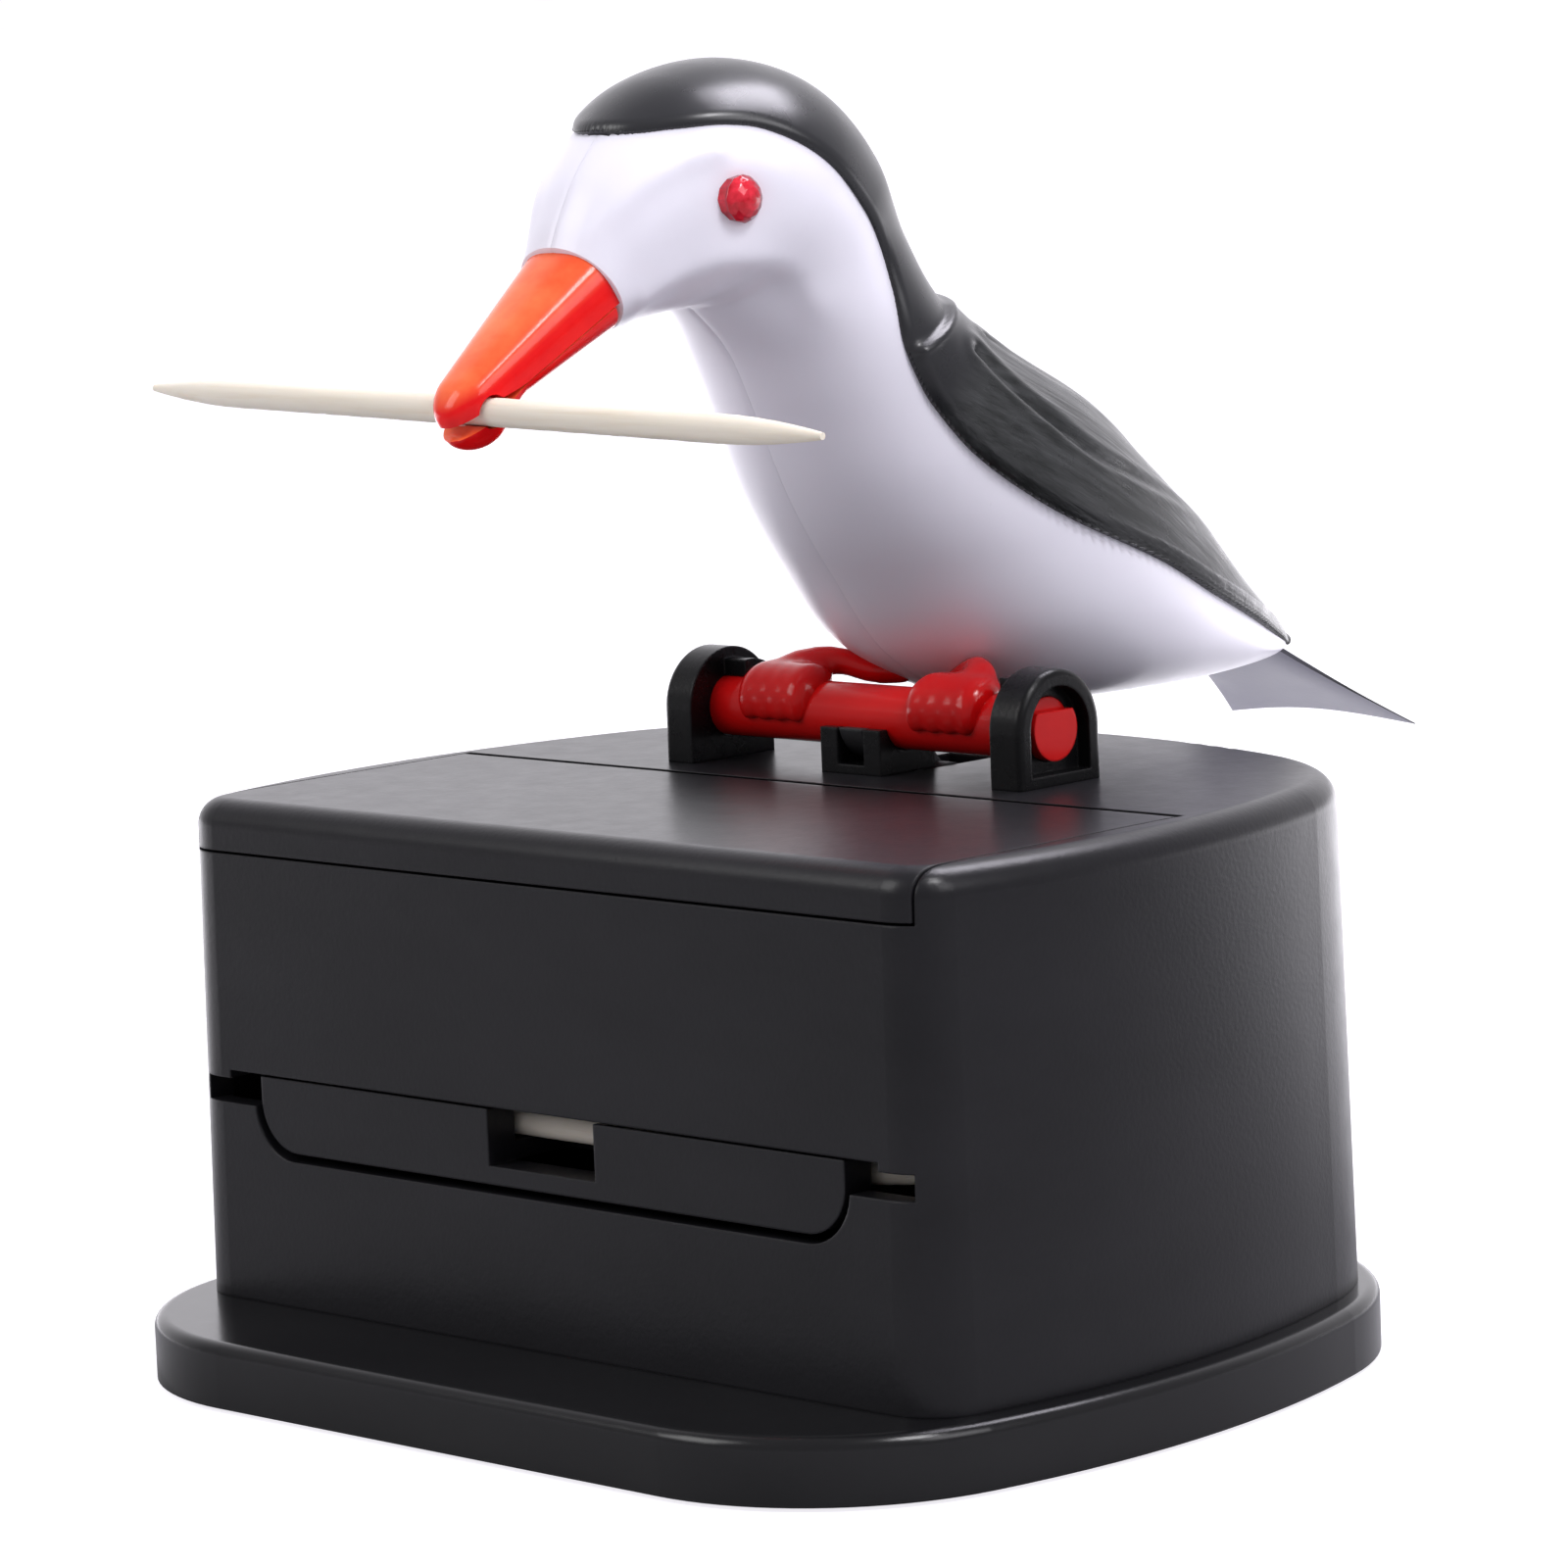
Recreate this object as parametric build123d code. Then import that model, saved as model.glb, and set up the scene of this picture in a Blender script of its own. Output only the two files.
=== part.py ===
"""Press-down bird toothpick dispenser, millimetres, +Z up.

The origin is on the desk, in the middle of the box's width. -Y is the front, where the
feed tray slides out, and +X is the bird's left. Pressing the bird bows it about the perch.
The perch crank lifts a link, the link turns a rocker, and the rocker pushes the tray out.
"""
from build123d import *
from math import atan2, cos, degrees, pi, radians, sin, sqrt
import os

# ---- driving dimensions -------------------------------------------------------------
PICK_LENGTH = 65.0          # a standard wooden toothpick
PICK_R = 1.0
PICK_TAPER = 9.0            # length of each pointed end
PICK_TIP_R = 0.25

BASE_TOP = 4.8              # top of the base flange
RIM_GAP = 0.2               # the flange rim stays this far above the desk
PAD_THICK = 1.4
PAD_INSET = 3.2

BOX_TOP = 40.9              # top face of the deck
DRAFT = 0.014               # wall lean, as a slope
WALL = 1.8
DECK = 2.0
TOP_FILLET = 2.0
SIDE_X = 36.2               # arc centres of the box outline
SIDE_Y = -5.2
REAR_Y = -31.5
BOX_ARCS = (75.0, 22.0, 67.0, 4.3, -24.8)     # side, shoulder, rear and corner radii, front Y
BASE_ARCS = (77.1, 23.9, 67.8, 17.6, -36.0)

LID_X = 34.9                # half-width of the lid
LID_SKIRT_Z = 37.4
LID_AXIS = (2.5, 39.4)      # Y, Z of the lid hinge
LID_KNUCKLE_R = 1.5
SEAM = 0.2                  # gap round the lid
PIN_R = 0.6                 # lid hinge pins

TRAY_X = 28.7               # half-width of the tray's front panel
TRAY_Z0 = 16.0
TRAY_Z1 = 21.3
TRAY_FACE_Y = -24.45
PANEL_THICK = 2.6
PANEL_GAP = 0.6
SLOT_X = 34.7               # half-width of the feed slot
SLOT_Z0 = 19.1
SLOT_Z1 = 21.5
NOTCH_X = 5.25
NOTCH_Z = 17.3
FLOOR_Z0 = 17.3
FLOOR_Z1 = 18.6
FLOOR_REAR_Y = -12.0
TRAY_TRAVEL = 8.5
QUEUE_Y = -20.1             # centre of the queued toothpick
QUEUE_Z = 19.65

SLOPE_DEG = 20.0            # hopper floor
SLOPE_Y0 = -18.9
SLOPE_Z0 = 20.0
SLOPE_Y1 = 2.0
CHEEK_X = 33.3
HOPPER_TOP = 36.6

PERCH_Y = 10.9
PERCH_Z = 44.8
ROD_R = 2.25
RUN = 0.05                  # radial clearance of every turning fit
BRACKET_X0 = 14.7
BRACKET_X1 = 17.5
BRACKET_R = 4.3
CRANK_R = 7.0
CRANK_DEG = -50.0           # crank direction at rest, from +Y
TILT_DEG = 64.0             # bow of the bird
LANE = 1.1                  # half-width of the crank and of the rocker
LINK_X0 = 1.3
LINK_X1 = 2.9
STUB_R = 1.0
EYE_R = 1.6
ROCKER_Z = 13.4
ROCKER_ARM = TRAY_TRAVEL / 2 / sin(radians(TILT_DEG / 2))
SCREW_X = 30.5
SCREW_Y = -20.9
REAR_SCREW_X = 22.5
REAR_SCREW_Y = 27.0

JAW_Y = -10.4               # jaw pin
JAW_Z = 80.4
BEAK_ROOT = (-14.6, 78.4)
BEAK_TIP = (-30.3, 69.0)
BEAK_ROOT_R = 4.9
BEAK_TIP_R = 2.5
TAIL_ROOT = (48.5, 48.2)
TAIL_TIP = (61.5, 38.8)
TAIL_ROOT_X = 5.0
TAIL_TIP_X = 9.0
TAIL_THICK = 1.3
MOUTH_R = 5.0               # hole in the head behind the beak
LEG_R = 1.25
GRIP = (-27.6, 70.0)        # centre of the held toothpick
GRIP_TILT = 1.5             # its lean, degrees

# Neck and body sections, from inside the head to the tail:
# lower point Y, Z, upper point Y, Z, half-width X.
SECTIONS = (
    (-2.6, 79.6, 8.2, 84.6, 8.2),
    (-6.4, 75.4, 10.8, 80.4, 9.7),
    (-2.9, 72.2, 13.6, 74.9, 10.1),
    (-0.2, 67.5, 19.3, 71.2, 11.0),
    (3.0, 61.5, 27.8, 67.0, 12.6),
    (7.0, 56.2, 35.0, 61.4, 13.4),
    (13.2, 49.9, 41.0, 56.8, 13.3),
    (22.0, 45.5, 45.9, 52.0, 12.0),
    (34.3, 43.8, 50.2, 48.1, 9.6),
    (46.0, 43.6, 54.2, 45.9, 7.0),
)
# Ovals as centre Y, Z, half-length, half-height, half-width and tilt: the head outside,
# then the hollows of the body, neck and head.
HEAD = (-4.2, 84.0, 13.2, 7.8, 9.7, 20.0)
HOLLOWS = (
    (22.0, 57.0, 18.5, 8.6, 11.2, -28.5),
    (5.2, 74.0, 5.9, 9.2, 8.0, -15.0),
    (-4.2, 84.0, 11.4, 6.1, 8.0, 20.0),
)
BROW = (-16.4, 77.9, 5.3)       # Y, Z and radius of the ring round the beak
BROW_BACK = (-5.5, 84.0, 8.0)   # the ring's cone ends here, inside the head
# Edge between the white body and the black cover, as Y, Z, from forehead to tail.
COVER_EDGE = (
    (-18.5, 87.2), (-9.0, 88.0), (-2.9, 86.1), (1.9, 82.2), (4.2, 75.5),
    (5.1, 67.9), (12.7, 60.7), (28.5, 54.9), (40.6, 50.1), (55.0, 44.6),
)


# ---- helpers ------------------------------------------------------------------------
def block(x0, x1, y0, y1, z0, z1):
    """Box between two corners."""
    return Pos((x0 + x1) / 2, (y0 + y1) / 2, (z0 + z1) / 2) * Box(x1 - x0, y1 - y0, z1 - z0)


def rod_x(y, z, r, x0, x1):
    """Round bar along X."""
    return extrude(Plane.YZ.offset(x0) * Pos(y, z) * Circle(r), amount=x1 - x0)


def rod_z(x, y, r, z0, z1):
    """Round bar along Z."""
    return Pos(x, y, (z0 + z1) / 2) * Cylinder(r, z1 - z0)


def plate_x(points, x0, x1):
    """Plate across X from an outline of Y, Z points."""
    outline = make_face(Polyline(*points, close=True))
    return extrude(Plane.YZ.offset(x0) * outline, amount=x1 - x0)


def bar_x(a, b, half, x0, x1):
    """Round-ended flat bar between two Y, Z points."""
    length = sqrt((b[0] - a[0]) ** 2 + (b[1] - a[1]) ** 2)
    turn = degrees(atan2(b[1] - a[1], b[0] - a[0]))
    middle = Pos((a[0] + b[0]) / 2, (a[1] + b[1]) / 2)
    slot = middle * Rot(0, 0, turn) * SlotOverall(length + 2 * half, 2 * half)
    return extrude(Plane.YZ.offset(x0) * slot, amount=x1 - x0)


def both(shape):
    """The shape and its mirror image across X."""
    return shape + mirror(shape, about=Plane.YZ)


def single(shape):
    """The one solid in a result."""
    return shape.solids().sort_by(lambda s: s.volume)[-1]


def on_circle(centre, radius, angle):
    """Point on a circle, the angle in degrees."""
    return (centre[0] + radius * cos(radians(angle)), centre[1] + radius * sin(radians(angle)))


# ---- box outline --------------------------------------------------------------------
def outline(arcs, inset, z):
    """D-shaped face of tangent arcs at height z, drawn inward by the inset."""
    side, shoulder, rear, corner, front = arcs
    side_c = (-SIDE_X, SIDE_Y)
    rear_c = (0.0, REAR_Y)
    # the shoulder arc touches the side arc and the rear arc from inside
    a, b = side - shoulder, rear - shoulder
    dx, dy = rear_c[0] - side_c[0], rear_c[1] - side_c[1]
    gap = sqrt(dx * dx + dy * dy)
    along = (a * a - b * b + gap * gap) / (2 * gap)
    off = sqrt(a * a - along * along)
    mid = (
        side_c[0] + (along * dx - off * dy) / gap,
        side_c[1] + (along * dy + off * dx) / gap,
    )
    corner_y = front + corner
    corner_c = (side_c[0] + sqrt((side - corner) ** 2 - (corner_y - SIDE_Y) ** 2), corner_y)
    to_corner = degrees(atan2(corner_c[1] - side_c[1], corner_c[0] - side_c[0]))
    to_mid = degrees(atan2(mid[1] - side_c[1], mid[0] - side_c[0]))
    to_rear = degrees(atan2(mid[1] - rear_c[1], mid[0] - rear_c[0]))
    p0 = on_circle(corner_c, corner - inset, -90)
    p1 = on_circle(corner_c, corner - inset, (to_corner - 90) / 2)
    p2 = on_circle(corner_c, corner - inset, to_corner)
    p3 = on_circle(side_c, side - inset, (to_corner + to_mid) / 2)
    p4 = on_circle(side_c, side - inset, to_mid)
    p5 = on_circle(mid, shoulder - inset, (to_mid + to_rear) / 2)
    p6 = on_circle(mid, shoulder - inset, to_rear)
    p7 = on_circle(rear_c, rear - inset, 90)
    flip = [(-p[0], p[1]) for p in (p0, p1, p2, p3, p4, p5, p6)]
    edges = [
        Line(flip[0], p0),
        ThreePointArc(p0, p1, p2),
        ThreePointArc(p2, p3, p4),
        ThreePointArc(p4, p5, p6),
        ThreePointArc(p6, p7, flip[6]),
        ThreePointArc(flip[6], flip[5], flip[4]),
        ThreePointArc(flip[4], flip[3], flip[2]),
        ThreePointArc(flip[2], flip[1], flip[0]),
    ]
    return Pos(0, 0, z) * make_face(edges)


def box_prism(inset, z0, z1):
    """The box's drafted prism between two heights."""
    low = outline(BOX_ARCS, inset + DRAFT * (z0 - BASE_TOP), z0)
    high = outline(BOX_ARCS, inset + DRAFT * (z1 - BASE_TOP), z1)
    return loft([low.face(), high.face()], ruled=True)


def base_prism(inset, z0, z1):
    """The base flange's straight prism."""
    return extrude(outline(BASE_ARCS, inset, z0), amount=z1 - z0)


# ---- base ---------------------------------------------------------------------------
def screw_places():
    """X, Y of the base screws."""
    return [
        (sx * x, y)
        for x, y in ((SCREW_X, SCREW_Y), (REAR_SCREW_X, REAR_SCREW_Y))
        for sx in (-1, 1)
    ]


def base_plate():
    """Flange with a rounded rim, a pad recess, rocker posts and a locating rib."""
    plate = base_prism(0, RIM_GAP, BASE_TOP)
    rim = plate.edges().group_by(Axis.Z)[-1]
    plate = fillet(rim, 0.9)
    plate -= base_prism(PAD_INSET - 0.2, RIM_GAP, PAD_THICK)
    ring = box_prism(WALL + 0.15, BASE_TOP, BASE_TOP + 2.4) - box_prism(WALL + 1.4, BASE_TOP, BASE_TOP + 2.4)
    for x, y in screw_places():
        ring -= rod_z(x, y, 3.6, BASE_TOP, BASE_TOP + 3)
        plate -= rod_z(x, y, 1.35, 0, BASE_TOP)
        plate -= rod_z(x, y, 2.5, 0, PAD_THICK + 1.6)
    ring -= both(block(CHEEK_X - 0.4, 38, -19.9, 3, BASE_TOP, BASE_TOP + 3))
    plate += ring
    post = plate_x(
        [(PERCH_Y - 4.5, BASE_TOP - 0.5), (PERCH_Y + 4.5, BASE_TOP - 0.5),
         (PERCH_Y + 2.4, ROCKER_Z + 2.2), (PERCH_Y - 2.4, ROCKER_Z + 2.2)],
        3.3, 5.1)
    plate += both(post)
    plate -= rod_x(PERCH_Y, ROCKER_Z, 1.0, -6, 6)
    plate += block(-7.4, -5.4, 29.0, 31.5, BASE_TOP - 0.5, 24.0)
    return single(plate)


def non_slip_pad():
    """Foam pad that stands on the desk, in the base's recess."""
    return single(base_prism(PAD_INSET, 0, PAD_THICK))


def base_screws():
    """Pan-head screws that hold the box to the base."""
    parts = []
    for x, y in screw_places():
        head = rod_z(x, y, 2.3, PAD_THICK + 0.1, PAD_THICK + 1.6)
        head = fillet(head.edges().group_by(Axis.Z)[0], 0.5)
        head -= Pos(x, y, PAD_THICK + 0.4) * Box(2.6, 0.6, 0.9)
        head -= Pos(x, y, PAD_THICK + 0.4) * Box(0.6, 2.6, 0.9)
        parts.append(single(head + rod_z(x, y, 1.1, PAD_THICK + 1.6, 12.0)))
    return Compound(parts)


# ---- housing and lid ----------------------------------------------------------------
def box_solid():
    """Outside of the whole box with its rounded top edge."""
    solid = box_prism(0, BASE_TOP, BOX_TOP)
    return fillet(solid.edges().group_by(Axis.Z)[-1], TOP_FILLET)


def lid_region(gap):
    """Space that the lid takes from the box, grown by a gap."""
    upper = block(-LID_X - gap, LID_X + gap, -40, LID_AXIS[0], LID_SKIRT_Z - gap, 50)
    knuckle = rod_x(LID_AXIS[0], LID_AXIS[1], LID_KNUCKLE_R + gap, -LID_X - gap, LID_X + gap)
    return upper + knuckle


def housing():
    """D-shaped box shell with feed slot, tray opening, deck slot and screw posts."""
    shell = box_solid() - box_prism(WALL, BASE_TOP, BOX_TOP - DECK)
    shell -= lid_region(SEAM)
    ear = block(LID_X + SEAM, 37.2, LID_AXIS[0] - 2.2, LID_AXIS[0] + 2.2, 37.2, BOX_TOP - 1)
    shell += both(ear)
    shell -= rod_x(*LID_AXIS, PIN_R + 0.01, -36.9, 36.9)
    for x, y in screw_places():
        top = 14.4 if y < 0 else 24.0
        shell += rod_z(x, y, 2.4 if y < 0 else 3.0, BASE_TOP, top)
        shell -= rod_z(x, y, 1.12, BASE_TOP - 1, 12.4)
    panel = block(-TRAY_X - PANEL_GAP, TRAY_X + PANEL_GAP, -30, -17.5, TRAY_Z0 - PANEL_GAP, SLOT_Z1)
    corners = panel.edges().filter_by(Axis.Y).group_by(Axis.Z)[0]
    shell -= fillet(corners, 4.0)
    shell -= block(-31.9, 31.9, -30, -19.0, SLOT_Z0, SLOT_Z1)
    shell -= block(-SLOT_X, SLOT_X, -30, -19.0, SLOT_Z0, SLOT_Z1 - 0.6)
    shell -= block(-LANE - 0.3, LINK_X1 + 0.3, PERCH_Y + 0.3, PERCH_Y + 9.0, 38, 42)
    for x in (-1, 1):
        shell -= rod_z(x * (BRACKET_X0 + BRACKET_X1) / 2, PERCH_Y, 1.32, 38, 42)
    return single(shell)


def lid():
    """Front part of the deck with a short skirt and a round hinge edge."""
    box = box_solid()
    skin = box - box_prism(WALL, BASE_TOP, BOX_TOP - DECK)
    top = skin & block(-LID_X, LID_X, -40, LID_AXIS[0], LID_SKIRT_Z, 50)
    top += rod_x(*LID_AXIS, LID_KNUCKLE_R, -LID_X, LID_X) & box
    for x in (-1, 1):
        start = x * LID_X if x < 0 else LID_X - 4
        top -= rod_x(*LID_AXIS, PIN_R + RUN, start, start + 4)
    return single(top)


def lid_hinge_pins():
    """Two short pins that the lid turns on."""
    pin = rod_x(*LID_AXIS, PIN_R, LID_X - 3.6, 36.8)
    return Compound([pin.solid(), mirror(pin, about=Plane.YZ).solid()])


# ---- hopper and toothpicks ----------------------------------------------------------
def hopper():
    """Sloped floor between two cheeks, with ledges that carry the tray."""
    rise = (SLOPE_Y1 - SLOPE_Y0) * sin(radians(SLOPE_DEG)) / cos(radians(SLOPE_DEG))
    floor = plate_x(
        [(SLOPE_Y0, SLOPE_Z0), (SLOPE_Y1, SLOPE_Z0 + rise),
         (SLOPE_Y1, SLOPE_Z0 + rise - 1.3), (SLOPE_Y0, SLOPE_Z0 - 1.2)],
        -CHEEK_X - 0.5, CHEEK_X + 0.5)
    cheek = block(CHEEK_X, CHEEK_X + 1.1, -19.5, 2.6, BASE_TOP, HOPPER_TOP)
    ledge = block(TRAY_X - 1.6, CHEEK_X + 0.5, -18.0, 2.6, FLOOR_Z0 - 1.6, FLOOR_Z0 - 0.1)
    rear = block(-CHEEK_X - 0.5, CHEEK_X + 0.5, SLOPE_Y1 - 0.6, SLOPE_Y1 + 0.6,
                 SLOPE_Z0 + rise - 1.5, HOPPER_TOP)
    return single(floor + both(cheek) + both(ledge) + rear)


def toothpick():
    """Round toothpick along X with two pointed ends, centred on the origin."""
    half = PICK_LENGTH / 2
    shoulder = half - PICK_TAPER
    side = [
        (0, -half), (PICK_TIP_R, -half), (PICK_R, -shoulder),
        (PICK_R, shoulder), (PICK_TIP_R, half), (0, half),
    ]
    face = make_face(Polyline(*side, close=True))
    return Rot(0, 90, 0) * Rot(90, 0, 0) * revolve(face, Axis.Y)


def stored_toothpicks():
    """Layers of toothpicks lying on the hopper floor."""
    pitch = 2 * PICK_R + 0.06
    c, s = cos(radians(SLOPE_DEG)), sin(radians(SLOPE_DEG))
    picks = []
    for layer in range(4):
        lift = PICK_R + 0.06 + layer * pitch * sqrt(3) / 2
        for i in range(8 - layer):
            along = 1.0 + (i + layer / 2) * pitch
            y = SLOPE_Y0 + along * c - lift * s
            z = SLOPE_Z0 + along * s + lift * c
            picks.append((Pos(0, y, z) * toothpick()).solid())
    return Compound(picks)


def queued_toothpick():
    """The next toothpick, waiting in the tray's trough."""
    return (Pos(0, QUEUE_Y, QUEUE_Z) * toothpick()).solid()


# ---- feed mechanism -----------------------------------------------------------------
def rocker_pin_place(tilt):
    """Y, Z of the rocker's tray pin with the bird at a tilt."""
    return on_circle((PERCH_Y, ROCKER_Z), ROCKER_ARM, 90 - TILT_DEG / 2 + tilt)


def feed_tray():
    """Notched front panel, trough floor and a tongue with the yoke for the rocker."""
    panel = block(-TRAY_X, TRAY_X, TRAY_FACE_Y, TRAY_FACE_Y + PANEL_THICK, TRAY_Z0, TRAY_Z1)
    panel = fillet(panel.edges().filter_by(Axis.Y).group_by(Axis.Z)[0], 3.6)
    floor_half = TRAY_X - 0.6
    floor = block(-floor_half, floor_half, TRAY_FACE_Y + PANEL_THICK - 0.5, FLOOR_REAR_Y,
                  FLOOR_Z0, FLOOR_Z1)
    pin_y = rocker_pin_place(0)[0]
    tongue = block(-6.6, -1.4, FLOOR_REAR_Y - 1, pin_y + 3.2, FLOOR_Z0, FLOOR_Z1)
    fork = block(-3.0, -1.4, pin_y - 3.2, pin_y + 3.2, FLOOR_Z1 - 0.3, 24.2)
    fork -= block(-4, 0, pin_y - STUB_R - 0.16, pin_y + STUB_R + 0.16, FLOOR_Z1, 26)
    hook = block(-6.6, -5.2, pin_y + 1.6, pin_y + 3.2, FLOOR_Z1 - 0.3, 23.4)
    tray = panel + floor + tongue + fork + hook
    tray -= block(-NOTCH_X, NOTCH_X, TRAY_FACE_Y - 1, -16.4, NOTCH_Z, TRAY_Z1 + 1)
    tray -= block(-NOTCH_X, NOTCH_X, TRAY_FACE_Y + PANEL_THICK, -16.4, 10, TRAY_Z1)
    tray -= rod_x(hook_y(), 21.6, 0.45, -8, -4)
    return single(tray)


def hook_y():
    """Y of the tray's spring hole."""
    return rocker_pin_place(0)[0] + 2.4


def rocker():
    """Bell crank with one arm for the link and one for the tray."""
    hub = (PERCH_Y, ROCKER_Z)
    crank_pin = on_circle(hub, CRANK_R, CRANK_DEG)
    tray_pin = rocker_pin_place(0)
    body = bar_x(hub, crank_pin, EYE_R, -LANE, LANE)
    body += bar_x(hub, tray_pin, EYE_R, -LANE, LANE)
    body += rod_x(*hub, 2.6, -3.0, LANE) + rod_x(*hub, 2.6, LANE - 0.1, LINK_X0 - 0.1)
    body += rod_x(*crank_pin, STUB_R, LANE - 0.1, LINK_X1 + 0.2)
    body += rod_x(*tray_pin, STUB_R, -3.2, -LANE + 0.1)
    body -= rod_x(*hub, 1.0 + RUN, -4, 4)
    return single(body)


def rocker_pin():
    """Steel pin through the base posts that the rocker turns on."""
    return rod_x(PERCH_Y, ROCKER_Z, 0.99, -5.6, 5.6).solid()


def link_rod():
    """Upright link between the perch crank and the rocker."""
    low = on_circle((PERCH_Y, ROCKER_Z), CRANK_R, CRANK_DEG)
    high = on_circle((PERCH_Y, PERCH_Z), CRANK_R, CRANK_DEG)
    link = bar_x(low, high, 1.0, LINK_X0, LINK_X1)
    for eye in (low, high):
        link += rod_x(*eye, EYE_R, LINK_X0, LINK_X1)
    for eye in (low, high):
        link -= rod_x(*eye, STUB_R + RUN, 0, 4)
    return single(link)


def spring_coil(start, end, radius, wire, turns, direction):
    """Coil of wire along a direction, with its centre line on a given axis."""
    length = (Vector(*end) - Vector(*start)).length
    path = Helix(length / turns, length, radius)
    profile = Plane(path @ 0, z_dir=path % 0) * Circle(wire)
    coil = sweep(profile, path)
    place = Plane(origin=start, z_dir=direction)
    return place * coil


def return_spring():
    """Extension spring from the tray hook to the rear post."""
    start = (-5.9, hook_y() + 1.7, 21.6)
    end = (-5.9, 28.2, 21.6)
    coil = spring_coil(start, end, 1.6, 0.25, 14, (0, 1, 0))
    return single(coil)


# ---- perch --------------------------------------------------------------------------
def arch(half, x0, x1, z0):
    """Round-topped upright across X, centred on the perch."""
    body = block(x0, x1, PERCH_Y - half, PERCH_Y + half, z0, PERCH_Z)
    return body + rod_x(PERCH_Y, PERCH_Z, half, x0, x1)


def bracket(side):
    """Perch bracket with an outer pocket, a half collar inside and a peg in the deck."""
    body = arch(BRACKET_R, BRACKET_X0, BRACKET_X1, BOX_TOP)
    body = fillet(body.edges().filter_by(GeomType.CIRCLE).sort_by(Axis.X)[-1], 0.5)
    body -= arch(3.1, BRACKET_X1 - 1.2, BRACKET_X1 + 1, BOX_TOP + 0.8)
    collar = rod_x(PERCH_Y, PERCH_Z, 3.5, BRACKET_X0 - 2.2, BRACKET_X0 + 0.2)
    collar &= block(0, 20, PERCH_Y - 0.6, PERCH_Y + 8, PERCH_Z - 1.0, PERCH_Z + 8)
    body += collar
    body &= block(0, 20, 0, 20, BOX_TOP, 60)
    body += rod_z((BRACKET_X0 + BRACKET_X1) / 2, PERCH_Y, 1.3, BOX_TOP - DECK, BOX_TOP + 0.5)
    body -= rod_x(PERCH_Y, PERCH_Z, ROD_R + RUN, 0, 20)
    body = single(body)
    return body if side > 0 else mirror(body, about=Plane.YZ)


def centre_guide():
    """Block under the middle of the perch rod, slotted for the crank."""
    body = block(-LINK_X1, LINK_X1, PERCH_Y - 3.0, PERCH_Y + 2.7, BOX_TOP, PERCH_Z - 0.6)
    body -= rod_x(PERCH_Y, PERCH_Z, ROD_R + RUN, -4, 4)
    body -= block(-LANE - 0.2, LANE + 0.2, PERCH_Y - 4, PERCH_Y + 4, BOX_TOP + 0.7, 50)
    body -= block(-LANE - 0.2, LANE + 0.2, PERCH_Y + 0.1, PERCH_Y + 4, BOX_TOP - 1, 50)
    return single(body)


def perch_rod():
    """Round rod with a flat on each end."""
    rod = rod_x(PERCH_Y, PERCH_Z, ROD_R, -BRACKET_X1 + 0.4, BRACKET_X1 - 0.4)
    flat = block(BRACKET_X1 - 1.2, 20, 0, 20, PERCH_Z + 1.3, 50)
    return single(rod - both(flat))


def crank_arm():
    """Crank keyed under the middle of the perch rod, with a stub for the link."""
    hub = (PERCH_Y, PERCH_Z)
    pin = on_circle(hub, CRANK_R, CRANK_DEG)
    arm = bar_x(hub, pin, EYE_R, -LANE, LANE)
    arm += rod_x(*hub, ROD_R + 0.75, -LANE, LANE)
    arm -= block(-5, 5, 0, 30, PERCH_Z - 0.6, 60)
    arm += rod_x(*pin, STUB_R, LANE - 0.1, LINK_X1 + 0.2)
    arm -= rod_x(*hub, ROD_R, -4, 4)
    return single(arm)


def bird_feet():
    """Toes wrapped round the rod, arched legs and the plate that holds them in the belly."""
    parts = block(-4.4, 4.4, PERCH_Y + 4.6, PERCH_Y + 7.6, PERCH_Z + 6.6, PERCH_Z + 8.2)
    for side in (-1, 1):
        parts += rod_x(PERCH_Y, PERCH_Z, ROD_R + 1.1, side * 9 - 3.4, side * 9 + 3.4)
        parts += leg(side)
    parts -= rod_x(PERCH_Y, PERCH_Z, ROD_R, -20, 20)
    return single(parts)


def leg(side, extra=0.0):
    """Leg from the toes up into the belly, grown by an extra radius."""
    start = Vector(side * 8.6, PERCH_Y + 0.2, PERCH_Z + 2.4)
    end = Vector(side * 3.2, PERCH_Y + 5.9, PERCH_Z + 7.4)
    place = Plane(origin=start, z_dir=end - start)
    return extrude(place * Circle(LEG_R + extra), amount=(end - start).length)


# ---- bird ---------------------------------------------------------------------------
def oval(y, z, long, tall, wide, tilt):
    """Ellipsoid with its long axis along Y, tilted about X."""
    return Pos(0, y, z) * Rot(tilt, 0, 0) * scale(Sphere(1), by=(wide, long, tall))


def ring_between(a, b):
    """Cone between two rings, each given as Y, Z and radius."""
    along = (0, b[0] - a[0], b[1] - a[1])
    faces = [Plane(origin=(0, y, z), x_dir=(1, 0, 0), z_dir=along) * Circle(r) for y, z, r in (a, b)]
    return loft(faces, ruled=True)


def bird_form():
    """Outside of the head, neck and body."""
    faces = []
    for low_y, low_z, high_y, high_z, half in SECTIONS:
        dy, dz = high_y - low_y, high_z - low_z
        centre = (0, (low_y + high_y) / 2, (low_z + high_z) / 2)
        place = Plane(origin=centre, x_dir=(1, 0, 0), z_dir=(0, -dz, dy))
        faces.append(place * Ellipse(half, sqrt(dy * dy + dz * dz) / 2))
    return loft(faces) + oval(*HEAD) + ring_between(BROW, BROW_BACK)


def bird_hollow():
    """Space inside the bird."""
    body, neck, head = (oval(*sizes) for sizes in HOLLOWS)
    return body + neck + head


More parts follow.
